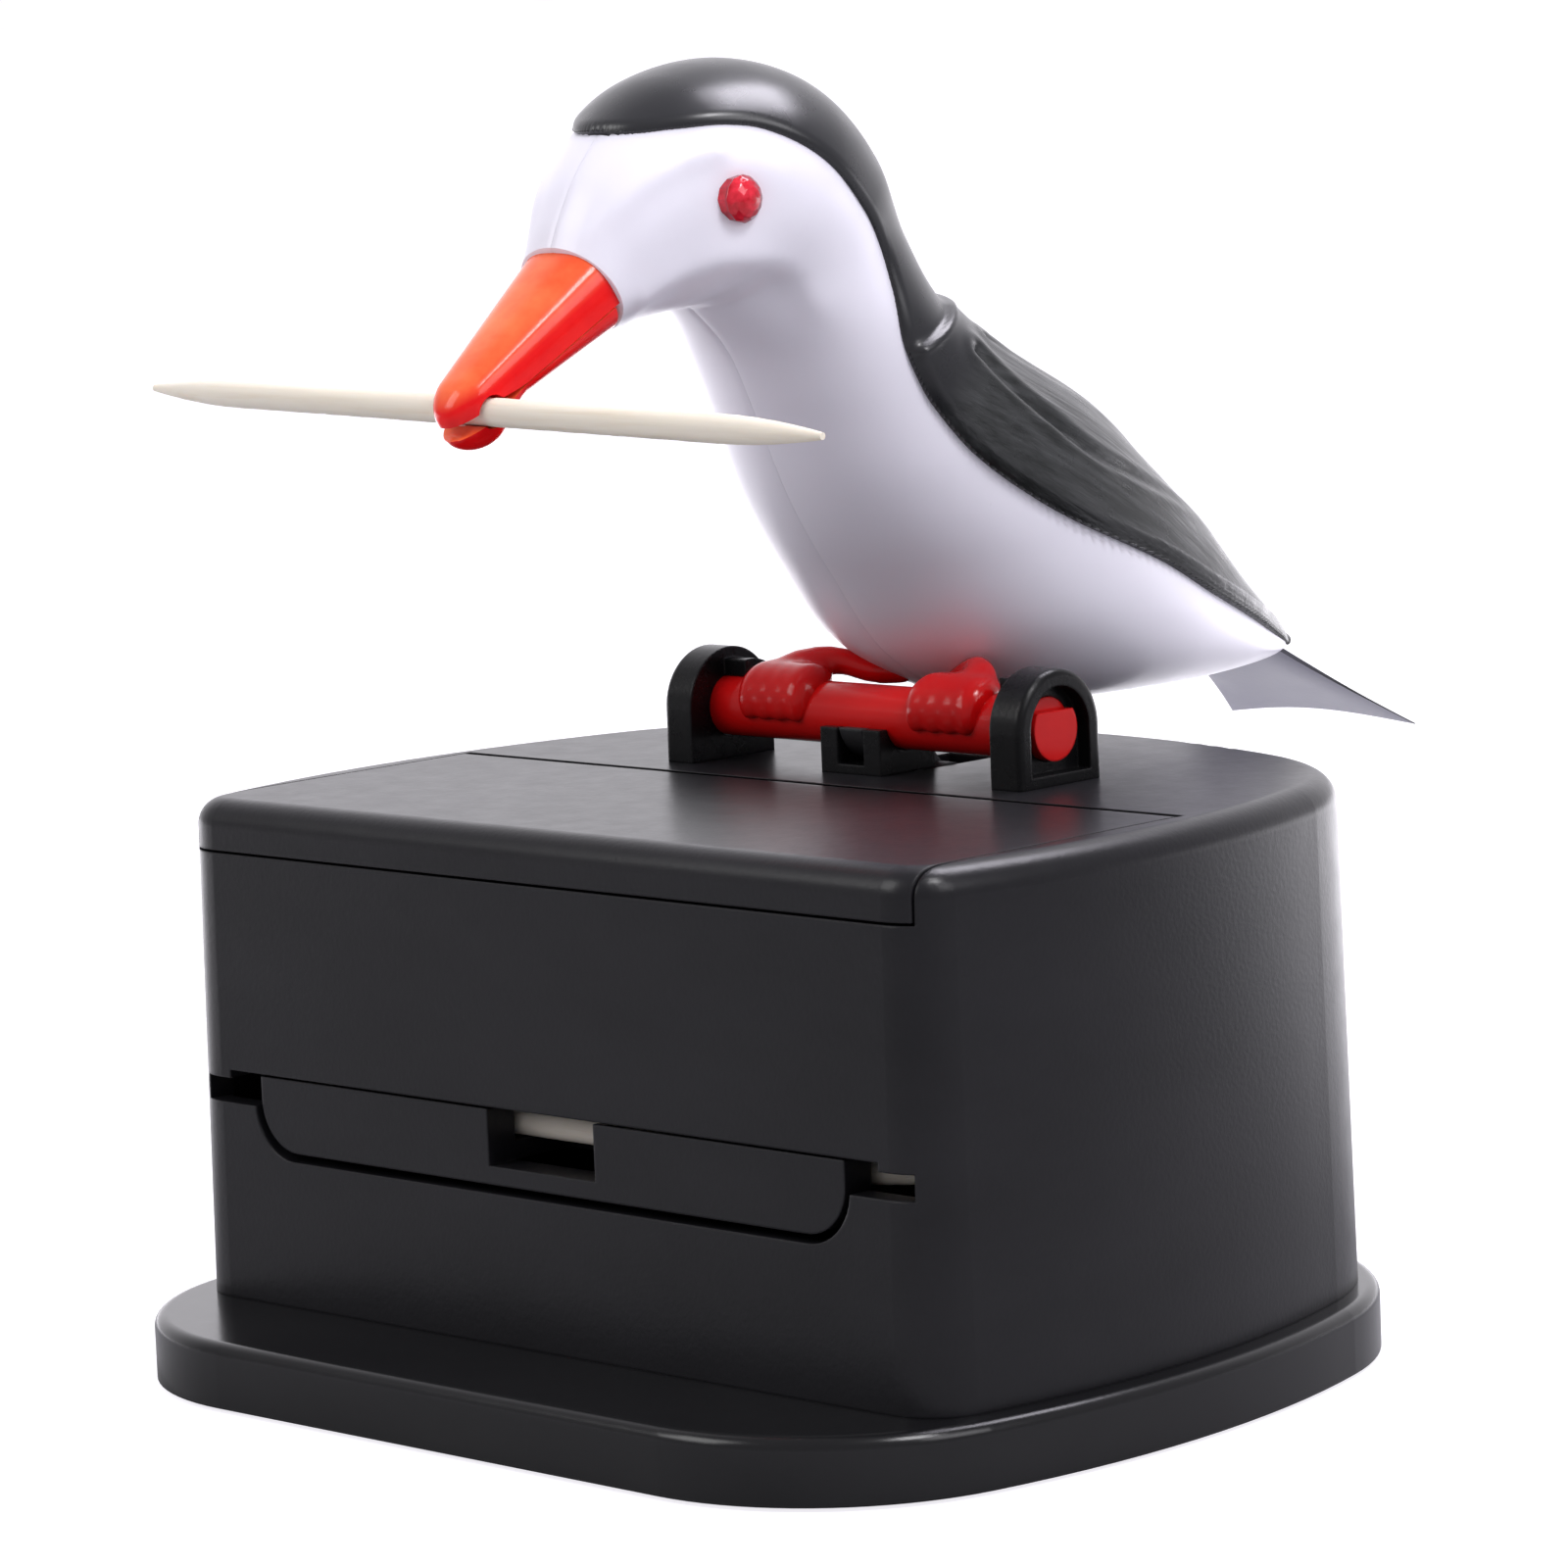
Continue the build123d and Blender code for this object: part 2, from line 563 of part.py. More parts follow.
def cover_region():
    """Everything above the edge of the black cover."""
    edge = Spline(*COVER_EDGE)
    rest = Polyline(COVER_EDGE[-1], (75, 35), (75, 110), (-40, 110), (-40, 87.2), COVER_EDGE[0])
    return extrude(Plane.YZ.offset(-30) * make_face([edge, rest]), amount=60)


def tail():
    """Thin fanned tail, rooted in the end of the cover."""
    dy, dz = TAIL_TIP[0] - TAIL_ROOT[0], TAIL_TIP[1] - TAIL_ROOT[1]
    length = sqrt(dy * dy + dz * dz)
    fan = Polyline(
        (-TAIL_ROOT_X, 0), (TAIL_ROOT_X, 0), (TAIL_TIP_X, length), (-TAIL_TIP_X, length), close=True)
    place = Plane(origin=(0, *TAIL_ROOT), x_dir=(1, 0, 0), z_dir=(0, -dz, dy))
    return extrude(place * make_face(fan), amount=-TAIL_THICK)


def beak_cone(extra_r, start=0.0, end=1.0):
    """Cone of the beak between two shares of its length."""
    dy, dz = BEAK_TIP[0] - BEAK_ROOT[0], BEAK_TIP[1] - BEAK_ROOT[1]
    faces = []
    for share in (start, end):
        origin = (0, BEAK_ROOT[0] + share * dy, BEAK_ROOT[1] + share * dz)
        radius = BEAK_ROOT_R + share * (BEAK_TIP_R - BEAK_ROOT_R) + extra_r
        faces.append(Plane(origin=origin, x_dir=(1, 0, 0), z_dir=(0, dy, dz)) * Circle(radius))
    return loft(faces, ruled=True)


def jaw_line(gap, side):
    """Half-space above or below the split between the mandibles."""
    root = (-6.0, 83.6)
    tip = (GRIP[0] - 8, GRIP[1] - 5.05)
    top = 40 * side
    return plate_x(
        [(root[0], root[1] + gap * side), (tip[0], tip[1] + (gap + 1.0) * side),
         (tip[0], tip[1] + top), (root[0], root[1] + top)],
        -12, 12)


def openings():
    """Cuts through the shells: beak hole, leg holes and eye seats."""
    ahead = (0, BEAK_TIP[0] - BEAK_ROOT[0], BEAK_TIP[1] - BEAK_ROOT[1])
    mouth = Plane(origin=(0, *BEAK_ROOT), x_dir=(1, 0, 0), z_dir=ahead).offset(-4.0) * Circle(MOUTH_R)
    cuts = [extrude(mouth, amount=12)]
    for side in (-1, 1):
        cuts.append(leg(side, 0.15))
        cuts.append(eye_seat(side))
    return cuts


def eye_seat(side):
    """Round seat of an eye in the side of the head."""
    return extrude(Plane(origin=(side * 8.0, -9.3, 83.1), z_dir=(side, 0, 0)) * Circle(1.66), amount=6)


def body_half(white, side):
    """White half of the body, left for side 1 and right for side -1."""
    keep = block(0, 30, -60, 90, 20, 120) if side > 0 else block(-30, 0, -60, 90, 20, 120)
    return single(white & keep)


def bird_shells():
    """White skin and black cover, both hollow."""
    form, hollow, region = bird_form(), bird_hollow(), cover_region()
    white = (form - region) - hollow
    cover = (form & region) - hollow
    for cut in openings():
        white -= cut
    return white - tail(), single(cover + tail())


def eyes():
    """Two domed eyes."""
    parts = []
    for side in (-1, 1):
        stem = extrude(Plane(origin=(side * 8.0, -9.3, 83.1), z_dir=(side, 0, 0)) * Circle(1.6), amount=1.9)
        parts.append(fillet(stem.edges().sort_by(Axis.X)[-1 if side > 0 else 0], 0.8).solid())
    return Compound(parts)


def upper_beak():
    """Fixed upper mandible with two ears for the jaw pin."""
    cone = beak_cone(0, 0.0, 1.0) & jaw_line(0.1, 1)
    neck = beak_cone(-1.4, -0.45, 0.0) & jaw_line(0.1, 1)
    ear = rod_x(JAW_Y, JAW_Z, 1.5, 3.0, 3.9) + bar_x((JAW_Y, JAW_Z), (-14.6, 80.4), 1.1, 3.0, 3.9)
    body = cone + neck + both(ear)
    body -= rod_x(*GRIP, PICK_R + 0.12, -12, 12)
    body -= rod_x(JAW_Y, JAW_Z, 0.8, -12, 12)
    body -= rod_x(JAW_Y, JAW_Z, 2.3, -2.9, 2.9)
    body -= bar_x((JAW_Y, JAW_Z), (-15.5, 76.0), 1.5, -2.2, 2.2)
    return single(body)


def lower_beak():
    """Sprung lower mandible with a tongue back to the jaw pin."""
    cone = beak_cone(0, 0.16, 0.93) & jaw_line(0.1, -1)
    tongue = bar_x((JAW_Y, JAW_Z), (-15.5, 76.0), 1.2, -1.9, 1.9)
    tongue += rod_x(JAW_Y, JAW_Z, 1.6, -1.9, 1.9)
    tongue -= jaw_line(-1.6, 1) & block(-9, 9, -60, -13.4, 60, 90)
    body = cone + tongue
    body -= rod_x(*GRIP, PICK_R + 0.12, -12, 12)
    body -= rod_x(JAW_Y, JAW_Z, 0.8 + RUN, -12, 12)
    return single(body)


def jaw_pin():
    """Pin that the lower mandible turns on."""
    return rod_x(JAW_Y, JAW_Z, 0.79, -4.6, 4.6).solid()


def jaw_spring():
    """Small coil round the jaw pin."""
    coil = spring_coil((2.05, JAW_Y, JAW_Z), (2.8, JAW_Y, JAW_Z), 1.15, 0.14, 2.5, (1, 0, 0))
    return single(coil)


def held_toothpick():
    """Toothpick gripped across the beak."""
    return (Pos(0, *GRIP) * Rot(0, GRIP_TILT, 0) * toothpick()).solid()


# ---- write the parts ----------------------------------------------------------------
def main():
    white, cover = bird_shells()
    nodes = {
        "base_plate": base_plate(),
        "non_slip_pad": non_slip_pad(),
        "base_screws": base_screws(),
        "housing": housing(),
        "lid": lid(),
        "lid_hinge_pins": lid_hinge_pins(),
        "hopper": hopper(),
        "stored_toothpicks": stored_toothpicks(),
        "queued_toothpick": queued_toothpick(),
        "feed_tray": feed_tray(),
        "rocker": rocker(),
        "rocker_pin": rocker_pin(),
        "link_rod": link_rod(),
        "return_spring": return_spring(),
        "bracket_left": bracket(1),
        "bracket_right": bracket(-1),
        "centre_guide": centre_guide(),
        "perch_rod": perch_rod(),
        "crank_arm": crank_arm(),
        "bird_feet": bird_feet(),
        "body_left": body_half(white, 1),
        "body_right": body_half(white, -1),
        "back_cover": cover,
        "eyes": eyes(),
        "upper_beak": upper_beak(),
        "lower_beak": lower_beak(),
        "jaw_pin": jaw_pin(),
        "jaw_spring": jaw_spring(),
        "held_toothpick": held_toothpick(),
    }
    os.makedirs("parts", exist_ok=True)
    for name, shape in nodes.items():
        export_step(shape, f"parts/{name}.step")


main()
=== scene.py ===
"""Looks of the press-down bird toothpick dispenser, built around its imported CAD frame.

The bird's shells, wings, tail, eyes, beak and feet and the two loose toothpicks are meshes
made here. The box, the perch and the mechanism keep their CAD meshes and get materials.
Lengths below are millimetres in the CAD frame: +X is the bird's left and -Y the front.
"""

import math

import bmesh
import bpy
import numpy as np
from mathutils import Matrix, Vector


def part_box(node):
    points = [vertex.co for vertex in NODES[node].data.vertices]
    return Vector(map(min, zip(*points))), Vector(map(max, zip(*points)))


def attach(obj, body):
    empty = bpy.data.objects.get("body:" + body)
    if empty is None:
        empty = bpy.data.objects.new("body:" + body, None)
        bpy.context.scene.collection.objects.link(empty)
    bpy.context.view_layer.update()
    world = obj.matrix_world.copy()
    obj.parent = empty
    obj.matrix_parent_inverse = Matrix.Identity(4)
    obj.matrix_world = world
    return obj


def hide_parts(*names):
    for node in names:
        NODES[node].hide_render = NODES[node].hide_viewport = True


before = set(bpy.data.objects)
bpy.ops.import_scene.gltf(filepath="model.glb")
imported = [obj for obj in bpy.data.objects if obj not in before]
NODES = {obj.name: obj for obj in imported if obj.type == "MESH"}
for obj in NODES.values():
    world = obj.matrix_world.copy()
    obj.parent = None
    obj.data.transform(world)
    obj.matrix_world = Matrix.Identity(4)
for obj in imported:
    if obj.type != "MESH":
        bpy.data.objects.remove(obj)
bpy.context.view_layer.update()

MM = 0.001

# ---- the bird's form --------------------------------------------------------------------
# Rings round the bird from the beak to the tail. Each crosses the middle plane at a low and
# a high point (Y, Z, Y, Z) and reaches a half-width in X.
RINGS = (
    (-15.9, 74.3, -19.6, 80.4, 4.5),
    (-14.7, 74.5, -18.7, 82.4, 4.9),
    (-13.5, 74.8, -16.9, 85.3, 5.7),
    (-12.2, 75.0, -13.7, 88.6, 6.8),
    (-10.7, 75.2, -9.3, 91.1, 8.4),
    (-9.2, 75.4, -3.1, 92.0, 9.5),
    (-8.2, 75.6, 2.8, 90.4, 9.8),
    (-7.2, 75.5, 7.6, 86.0, 9.5),
    (-6.0, 75.0, 10.3, 80.1, 9.3),
    (-2.9, 72.0, 13.4, 74.8, 10.0),
    (-0.4, 67.3, 19.1, 70.7, 11.0),
    (2.6, 61.2, 27.3, 66.3, 12.6),
    (6.4, 55.7, 34.3, 60.8, 13.4),
    (12.2, 49.0, 40.1, 56.1, 13.3),
    (21.4, 44.9, 44.6, 51.8, 12.0),
    (33.6, 44.1, 48.4, 48.6, 9.6),
    (43.0, 44.4, 51.2, 46.9, 7.2),
    (47.8, 45.2, 52.6, 46.3, 5.2),
)
# Lower edge of the black cover seen from the side (Y, Z), from the forehead to the tail.
COVER_EDGE = (
    (-15.9, 87.9), (-14.0, 87.8), (-11.8, 88.0), (-8.9, 88.1), (-6.1, 87.5), (-2.2, 85.3),
    (1.6, 81.7), (3.4, 79.0), (4.0, 76.2), (4.3, 72.6), (5.5, 69.6), (6.9, 67.3),
    (9.7, 64.0), (13.9, 60.9), (19.0, 58.2), (27.5, 54.8), (35.0, 51.5), (45.9, 47.6), (56.0, 44.0),
)
SEAM_GAP = 0.02             # between the two halves of the white body
COVER_PROUD = 0.5           # how far the cover stands out of the white skin
COVER_ROUND = 0.9           # reach of its rounded edge
COVER_THICK = 1.1
# Feather grooves on the bird's left wing (X, Y, Z).
GROOVE_UPPER = (
    (8.6, 13.7, 71.5), (8.9, 18.9, 68.8), (8.9, 24.0, 66.4), (7.9, 29.0, 64.0), (6.2, 34.5, 60.9),
)
GROOVE_LOWER = (
    (10.3, 10.7, 71.0), (11.6, 14.1, 67.5), (12.6, 19.6, 63.4), (12.4, 24.5, 61.1),
    (11.3, 30.0, 59.0), (9.6, 35.5, 57.1), (7.4, 40.5, 55.2),
)
WING_LEAD = 9.0             # ring number where the wings begin
WING_END = 16.8             # ring number where they are level with the skin again
RING_STEP = 5.6             # distance between rings at the wings' front edge
WING_SLOPE_DEG = 29         # how steeply the barbs run down towards the tail
# Raised brow and cheek lines and the hollow behind the cheek, on the bird's left (X, Y, Z).
BROW = (
    (3.0, -18.1, 81.8), (3.9, -16.5, 83.2), (4.8, -14.7, 84.5), (5.9, -12.5, 85.7), (7.1, -10.5, 86.4),
)
CHEEK = (
    (4.6, -15.3, 76.9), (5.8, -13.0, 78.2), (7.3, -10.4, 79.0), (8.2, -7.5, 78.6), (8.6, -4.6, 77.3),
    (8.8, -2.6, 75.0),
)
CHEEK_HOLLOW = (7.0, -5.0, 75.2)
EYE = (9.0, -9.4, 83.1)
EYE_R = 1.62
EYE_SEAT = 8.15             # X of the plane that the eye's profile is measured from

TAIL_ROOT = (46.6, 48.0)    # Y, Z
TAIL_LENGTH = 17.0
TAIL_AHEAD = (0.86, -0.82)  # how its reach goes back (Y) and its drop goes down (Z)

BEAK_ROOT = (-14.6, 78.4)       # Y, Z
BEAK_AHEAD = (-0.858, -0.514)   # direction of the beak in Y, Z
BEAK_LENGTH = 18.3
# Half-width and the heights above and below the axis, at the root and their change per mm.
BEAK_WIDTH = (4.6, -0.15)
BEAK_UPPER = (4.3, -0.14)
BEAK_LOWER = (2.90, -0.098)
BEAK_BEND = 12.0            # past this the lower half bends down
BEND_REACH = 3.5
BEAK_BLUNT = 2.6            # length of the rounded tip
UPPER_START = 1.5           # the upper half begins this far along the beak
LOWER_START = 3.65
LOWER_DROOP = 1.75          # how far the lower tip bends down under the toothpick
GRIP = (-27.6, 70.0)        # middle of the held toothpick (Y, Z)
GRIP_TILT = 1.5
GROOVE_R = 1.13             # radius of the toothpick's groove in both halves
PICK_LENGTH = 65.0
PICK_R = 1.0
PICK_TAPER = 9.0
PICK_POINT_R = 0.24

PERCH = (10.9, 44.8)        # axis of the perch rod (Y, Z)
ROD_R = 2.25
FOOT_X = 8.3
TOE_OFFSETS = (-2.5, -0.85, 0.85, 2.5)
# Each leg's line from its foot to the belly: outward from FOOT_X, behind and above the perch.
LEG_LINE = ((1.4, 0.1, 2.2), (0.4, 1.6, 3.1), (-1.6, 3.2, 3.3), (-4.1, 4.4, 2.5), (-6.0, 6.2, 2.4))


# ---- mesh helpers -----------------------------------------------------------------------
def spline(rows, at):
    """Catmull-Rom curve through the rows, at row numbers that may be fractions."""
    p = np.array(rows, float)
    p = np.vstack([2 * p[0] - p[1], p, 2 * p[-1] - p[-2]])
    at = np.clip(np.asarray(at, float), 0, len(rows) - 1)
    i = np.minimum(at.astype(int), len(rows) - 2)
    f = (at - i)[..., None]
    a, b, c, d = p[i], p[i + 1], p[i + 2], p[i + 3]
    square = 2 * a - 5 * b + 4 * c - d
    cube = 3 * b - a - 3 * c + d
    return 0.5 * (2 * b + (c - a) * f + square * f**2 + cube * f**3)


def along(rows, count):
    """Evenly numbered points of a spline."""
    return spline(rows, np.linspace(0, len(rows) - 1, count))


def gap_to(points, curve):
    """Distance from each point to the nearest of the curve's points."""
    flat = points.reshape(-1, 3)
    best = np.full(len(flat), 1e9)
    for c in curve:
        best = np.minimum(best, ((flat - c) ** 2).sum(1))
    return np.sqrt(best).reshape(points.shape[:-1])


def smooth_step(x):
    """Eases from 0 to 1 as x does, and stays there outside that range."""
    x = np.clip(x, 0, 1)
    return x * x * (3 - 2 * x)


def bell(distance, width):
    """Smooth bump: 1 at no distance, falling to nothing over about two widths."""
    return np.exp(-((distance / width) ** 2))


def to_mesh(name, verts, faces, sharp_deg=40):
    """New mesh object from millimetre points, its faces turned outward."""
    mesh = bpy.data.meshes.new(name)
    mesh.from_pydata([tuple(v) for v in np.asarray(verts, float) * MM], [], faces)
    work = bmesh.new()
    work.from_mesh(mesh)
    bmesh.ops.remove_doubles(work, verts=work.verts, dist=1e-7)
    bmesh.ops.dissolve_degenerate(work, edges=work.edges, dist=1e-7)
    bmesh.ops.recalc_face_normals(work, faces=work.faces)
    work.to_mesh(mesh)
    work.free()
    mesh.shade_smooth()
    mesh.set_sharp_from_angle(angle=math.radians(sharp_deg))
    piece = bpy.data.objects.new(name, mesh)
    bpy.context.scene.collection.objects.link(piece)
    return piece


def grid_faces(rows, cols, start=0, wrap=False):
    """Quads of a grid of points stored row by row."""
    faces = []
    for i in range(rows - 1):
        for j in range(cols if wrap else cols - 1):
            k = (j + 1) % cols
            faces.append((start + i * cols + j, start + i * cols + k,
                          start + (i + 1) * cols + k, start + (i + 1) * cols + j))
    return faces


def sheet_solid(outer, inner):
    """Closed solid between two grids of the same shape."""
    rows, cols = outer.shape[:2]
    n = rows * cols
    verts = np.vstack([outer.reshape(-1, 3), inner.reshape(-1, 3)])
    faces = grid_faces(rows, cols) + [f[::-1] for f in grid_faces(rows, cols, n)]
    ring = list(range(cols))
    ring += [i * cols + cols - 1 for i in range(1, rows)]
    ring += [(rows - 1) * cols + j for j in range(cols - 2, -1, -1)]
    ring += [i * cols for i in range(rows - 2, 0, -1)]
    for a, b in zip(ring, ring[1:] + ring[:1]):
        faces.append((b, a, a + n, b + n))
    return verts, faces


def rings_solid(rings):
    """Closed solid through a row of rings of points, with a fan at each end."""
    rows, cols = rings.shape[:2]
    verts = list(rings.reshape(-1, 3))
    faces = grid_faces(rows, cols, wrap=True)
    for row, order in ((0, 1), (rows - 1, -1)):
        verts.append(rings[row].mean(0))
        centre = len(verts) - 1
        for j in range(cols):
            face = (row * cols + (j + 1) % cols, row * cols + j, centre)
            faces.append(face[::order])
    return np.array(verts), faces


def tube(path, radii, sides):
    """Rings of points round a path of 3-D points."""
    path = np.asarray(path, float)
    tangent = np.gradient(path, axis=0)
    tangent /= np.linalg.norm(tangent, axis=1)[:, None]
    ref = np.array([0.0, 0.0, 1.0]) if abs(tangent[0][2]) < 0.9 else np.array([0.0, 1.0, 0.0])
    angles = np.linspace(0, 2 * math.pi, sides, endpoint=False)
    rings = []
    for p, t, r in zip(path, tangent, np.broadcast_to(radii, len(path))):
        side = np.cross(t, ref)
        side /= np.linalg.norm(side)
        up = np.cross(side, t)
        rings.append(p + r * (np.outer(np.cos(angles), side) + np.outer(np.sin(angles), up)))
    return np.array(rings)


def place(piece, material, body, slot_name, *replaced):
    """Gives a new piece its material and its body and hides the CAD nodes it stands for. The slot name is
    not used.
    """
    piece.data.materials.clear()
    piece.data.materials.append(material)
    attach(piece, body)
    if replaced:
        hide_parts(*replaced)
    return piece


# ---- material helpers -------------------------------------------------------------------
EDGE_WEAR_REACH = 0.25      # radius of the rounded normal that finds edges


class Nodes:
    """A node material under construction."""

    def __init__(self, name):
        self.material = bpy.data.materials.new(name)
        self.material.use_nodes = True
        self.tree = self.material.node_tree
        self.shader = self.tree.nodes["Principled BSDF"]
        coords = self.tree.nodes.new("ShaderNodeTexCoord")
        self.place = coords.outputs["Object"]

    def add(self, kind, **values):
        node = self.tree.nodes.new(kind)
        for key, value in values.items():
            if key in node.inputs:
                node.inputs[key].default_value = value
            else:
                setattr(node, key, value)
        return node

    def link(self, a, b):
        self.tree.links.new(a, b)

    def scaled(self, factors):
        """Object coordinates stretched by three factors."""
        mapping = self.add("ShaderNodeMapping")
        mapping.inputs["Scale"].default_value = factors
        self.link(self.place, mapping.inputs["Vector"])
        return mapping.outputs["Vector"]

    def noise(self, scale, detail=3.0, rough=0.55, vector=None):
        node = self.add("ShaderNodeTexNoise", Scale=scale, Detail=detail, Roughness=rough)
        self.link(vector or self.place, node.inputs["Vector"])
        return node.outputs["Fac"]

    def ramp(self, source, low, high, start=0.35, end=0.65):
        """Maps a 0 to 1 value onto two numbers or two colours."""
        if isinstance(low, (int, float)):
            node = self.add("ShaderNodeMapRange")
            limits = {"From Min": start, "From Max": end, "To Min": low, "To Max": high}
            for name, value in limits.items():
                node.inputs[name].default_value = value
            self.link(source, node.inputs["Value"])
            return node.outputs["Result"]
        node = self.add("ShaderNodeValToRGB")
        for element, position, colour in zip(node.color_ramp.elements, (start, end), (low, high)):
            element.position = position
            element.color = (*colour, 1)
        self.link(source, node.inputs["Fac"])
        return node.outputs["Color"]

    def mix(self, factor, a, b):
        node = self.add("ShaderNodeMix", data_type="RGBA")
        self.link(factor, node.inputs["Factor"])
        for source, name in ((a, "A"), (b, "B")):
            socket = [s for s in node.inputs if s.name == name and s.type == "RGBA"][0]
            if isinstance(source, tuple):
                socket.default_value = (*source, 1)
            else:
                self.link(source, socket)
        return [s for s in node.outputs if s.type == "RGBA"][0]

    def edges(self, radius):
        """A rounded normal, and a mask that is 0 on flat surfaces and about 1 on edges."""
        bevel = self.add("ShaderNodeBevel", samples=4)
        bevel.inputs["Radius"].default_value = radius * MM
        geometry = self.add("ShaderNodeNewGeometry")
        dot = self.add("ShaderNodeVectorMath", operation="DOT_PRODUCT")
        self.link(bevel.outputs["Normal"], dot.inputs[0])
        self.link(geometry.outputs["True Normal"], dot.inputs[1])
        return bevel.outputs["Normal"], self.ramp(dot.outputs["Value"], 1.0, 0.0, 0.90, 0.995)

    def bump(self, height, strength, depth, normal=None):
        node = self.add("ShaderNodeBump", Strength=strength, Distance=depth * MM)
        self.link(height, node.inputs["Height"])
        if normal is not None:
            self.link(normal, node.inputs["Normal"])
        return node.outputs["Normal"]

    def set(self, **values):
        for key, value in values.items():
            self.shader.inputs[key.replace("_", " ")].default_value = value

    def to(self, name, socket):
        self.link(socket, self.shader.inputs[name])


def moulded(name, dark, light, rough, grain=0.02, coat=0.0, wear=0.5, specular=0.5, scatter=0.0):
    """Moulded plastic: faint flow marks, a fine grain, soft scuffs and worn edges."""
    n = Nodes(name)
    flow = n.noise(55, 4, 0.6, n.scaled((1.0, 1.0, 2.4)))
    colour = n.ramp(flow, dark, light, 0.3, 0.7)
    scuff = n.noise(420, 5, 0.7)
    normal, edge = n.edges(EDGE_WEAR_REACH)
    worn = tuple(min(1.0, c + 0.06 * wear + 0.25 * wear * c) for c in light)
    factor = n.ramp(edge, 0.0, 0.7 * wear, 0.2, 1.0)
    n.to("Base Color", n.mix(factor, colour, worn))
    n.to("Roughness", n.ramp(scuff, rough * 0.92, rough * 1.12, 0.25, 0.75))
    fine = n.noise(2600, 2, 0.5)
    n.to("Normal", n.bump(fine, 0.6, grain, normal))
    n.set(Specular_IOR_Level=specular, Coat_Weight=coat, Coat_Roughness=0.08)
    if scatter:
        n.set(Subsurface_Weight=scatter, Subsurface_Radius=(1.0, 0.3, 0.2), Subsurface_Scale=1.2 * MM)
    return n.material


def beak_plastic(name):
    """Glossy orange-red, with painted light: paler on upward-facing surfaces, as if lit from above."""
    n = Nodes(name)
    geometry = n.add("ShaderNodeNewGeometry")
    split = n.add("ShaderNodeSeparateXYZ")
    n.link(geometry.outputs["Normal"], split.inputs["Vector"])
    cloud = n.noise(230, 4, 0.6)
    low = n.ramp(cloud, (0.80, 0.003, 0.006), (0.92, 0.012, 0.010), 0.3, 0.7)
    # painted light: this paler colour goes on upward-facing surfaces, as if lit from above
    high = n.ramp(cloud, (0.90, 0.10, 0.030), (0.98, 0.21, 0.075), 0.3, 0.7)
    n.to("Base Color", n.mix(n.ramp(split.outputs["Z"], 0.0, 1.0, 0.1, 0.6), low, high))
    n.to("Roughness", n.ramp(n.noise(500, 4, 0.6), 0.13, 0.22, 0.3, 0.7))
    n.to("Normal", n.bump(n.noise(1500, 2), 0.5, 0.012))
    n.set(Specular_IOR_Level=0.2, Coat_Weight=0.2, Coat_Roughness=0.05, Subsurface_Weight=0.06,
          Subsurface_Radius=(1.0, 0.3, 0.15), Subsurface_Scale=1.0 * MM)
    return n.material


def red_glass(name):
    """Clear red moulding with painted shade: darker towards its rim, where the surface turns away from
    the view.
    """
    n = Nodes(name)
    facing = n.add("ShaderNodeLayerWeight", Blend=0.45).outputs["Facing"]
    cloud = n.noise(900, 3, 0.6)
    middle = n.ramp(cloud, (0.50, 0.003, 0.014), (0.85, 0.03, 0.06), 0.35, 0.7)
    # painted shade: the colour darkens to a deep red where the surface turns away from the view
    n.to("Base Color", n.mix(n.ramp(facing, 0.0, 1.0, 0.25, 0.8), middle, (0.16, 0.0, 0.012)))
    n.to("Roughness", n.ramp(cloud, 0.08, 0.16))
    n.to("Normal", n.bump(n.noise(1600, 2), 0.6, 0.03))
    n.set(Specular_IOR_Level=0.4, Coat_Weight=0.2, Coat_Roughness=0.05)
    return n.material


def drawn_metal(name, colour, rough):
    """Drawn or plated steel with lengthwise streaks."""
    n = Nodes(name)
    streaks = n.noise(900, 3, 0.6, n.scaled((0.08, 1.0, 1.0)))
    n.to("Base Color", n.ramp(streaks, tuple(c * 0.8 for c in colour), colour))
    n.to("Roughness", n.ramp(streaks, rough, rough * 1.6))
    n.to("Normal", n.bump(streaks, 0.4, 0.01))
    n.set(Metallic=1.0)
    return n.material


def birch(name):
    """Raw birch with long fibres, a few darker ones, and a dry surface."""
    n = Nodes(name)
    fibre = n.noise(1500, 5, 0.65, n.scaled((0.035, 1.0, 1.0)))
    broad = n.noise(260, 3, 0.5, n.scaled((0.1, 1.0, 1.0)))
    pale = n.ramp(broad, (0.77, 0.70, 0.58), (0.85, 0.80, 0.71), 0.3, 0.7)
    streak = n.ramp(fibre, 0.0, 0.45, 0.52, 0.72)
    n.to("Base Color", n.mix(streak, pale, (0.68, 0.56, 0.40)))
    n.to("Roughness", n.ramp(fibre, 0.5, 0.72))
    n.to("Normal", n.bump(fibre, 0.7, 0.05))
    n.set(Subsurface_Weight=0.15, Subsurface_Radius=(1.0, 0.7, 0.4), Subsurface_Scale=0.5 * MM,
          Specular_IOR_Level=0.3)
    return n.material


def foam_pad(name):
    """Closed-cell foam with small pores."""
    n = Nodes(name)
    cells = n.add("ShaderNodeTexVoronoi", Scale=1600.0)
    n.link(n.place, cells.inputs["Vector"])
    pores = cells.outputs["Distance"]
    n.to("Base Color", n.ramp(pores, (0.012, 0.012, 0.013), (0.05, 0.05, 0.052), 0.05, 0.6))
    n.to("Normal", n.bump(pores, 0.8, 0.12))
    n.set(Roughness=0.9, Specular_IOR_Level=0.2)
    return n.material


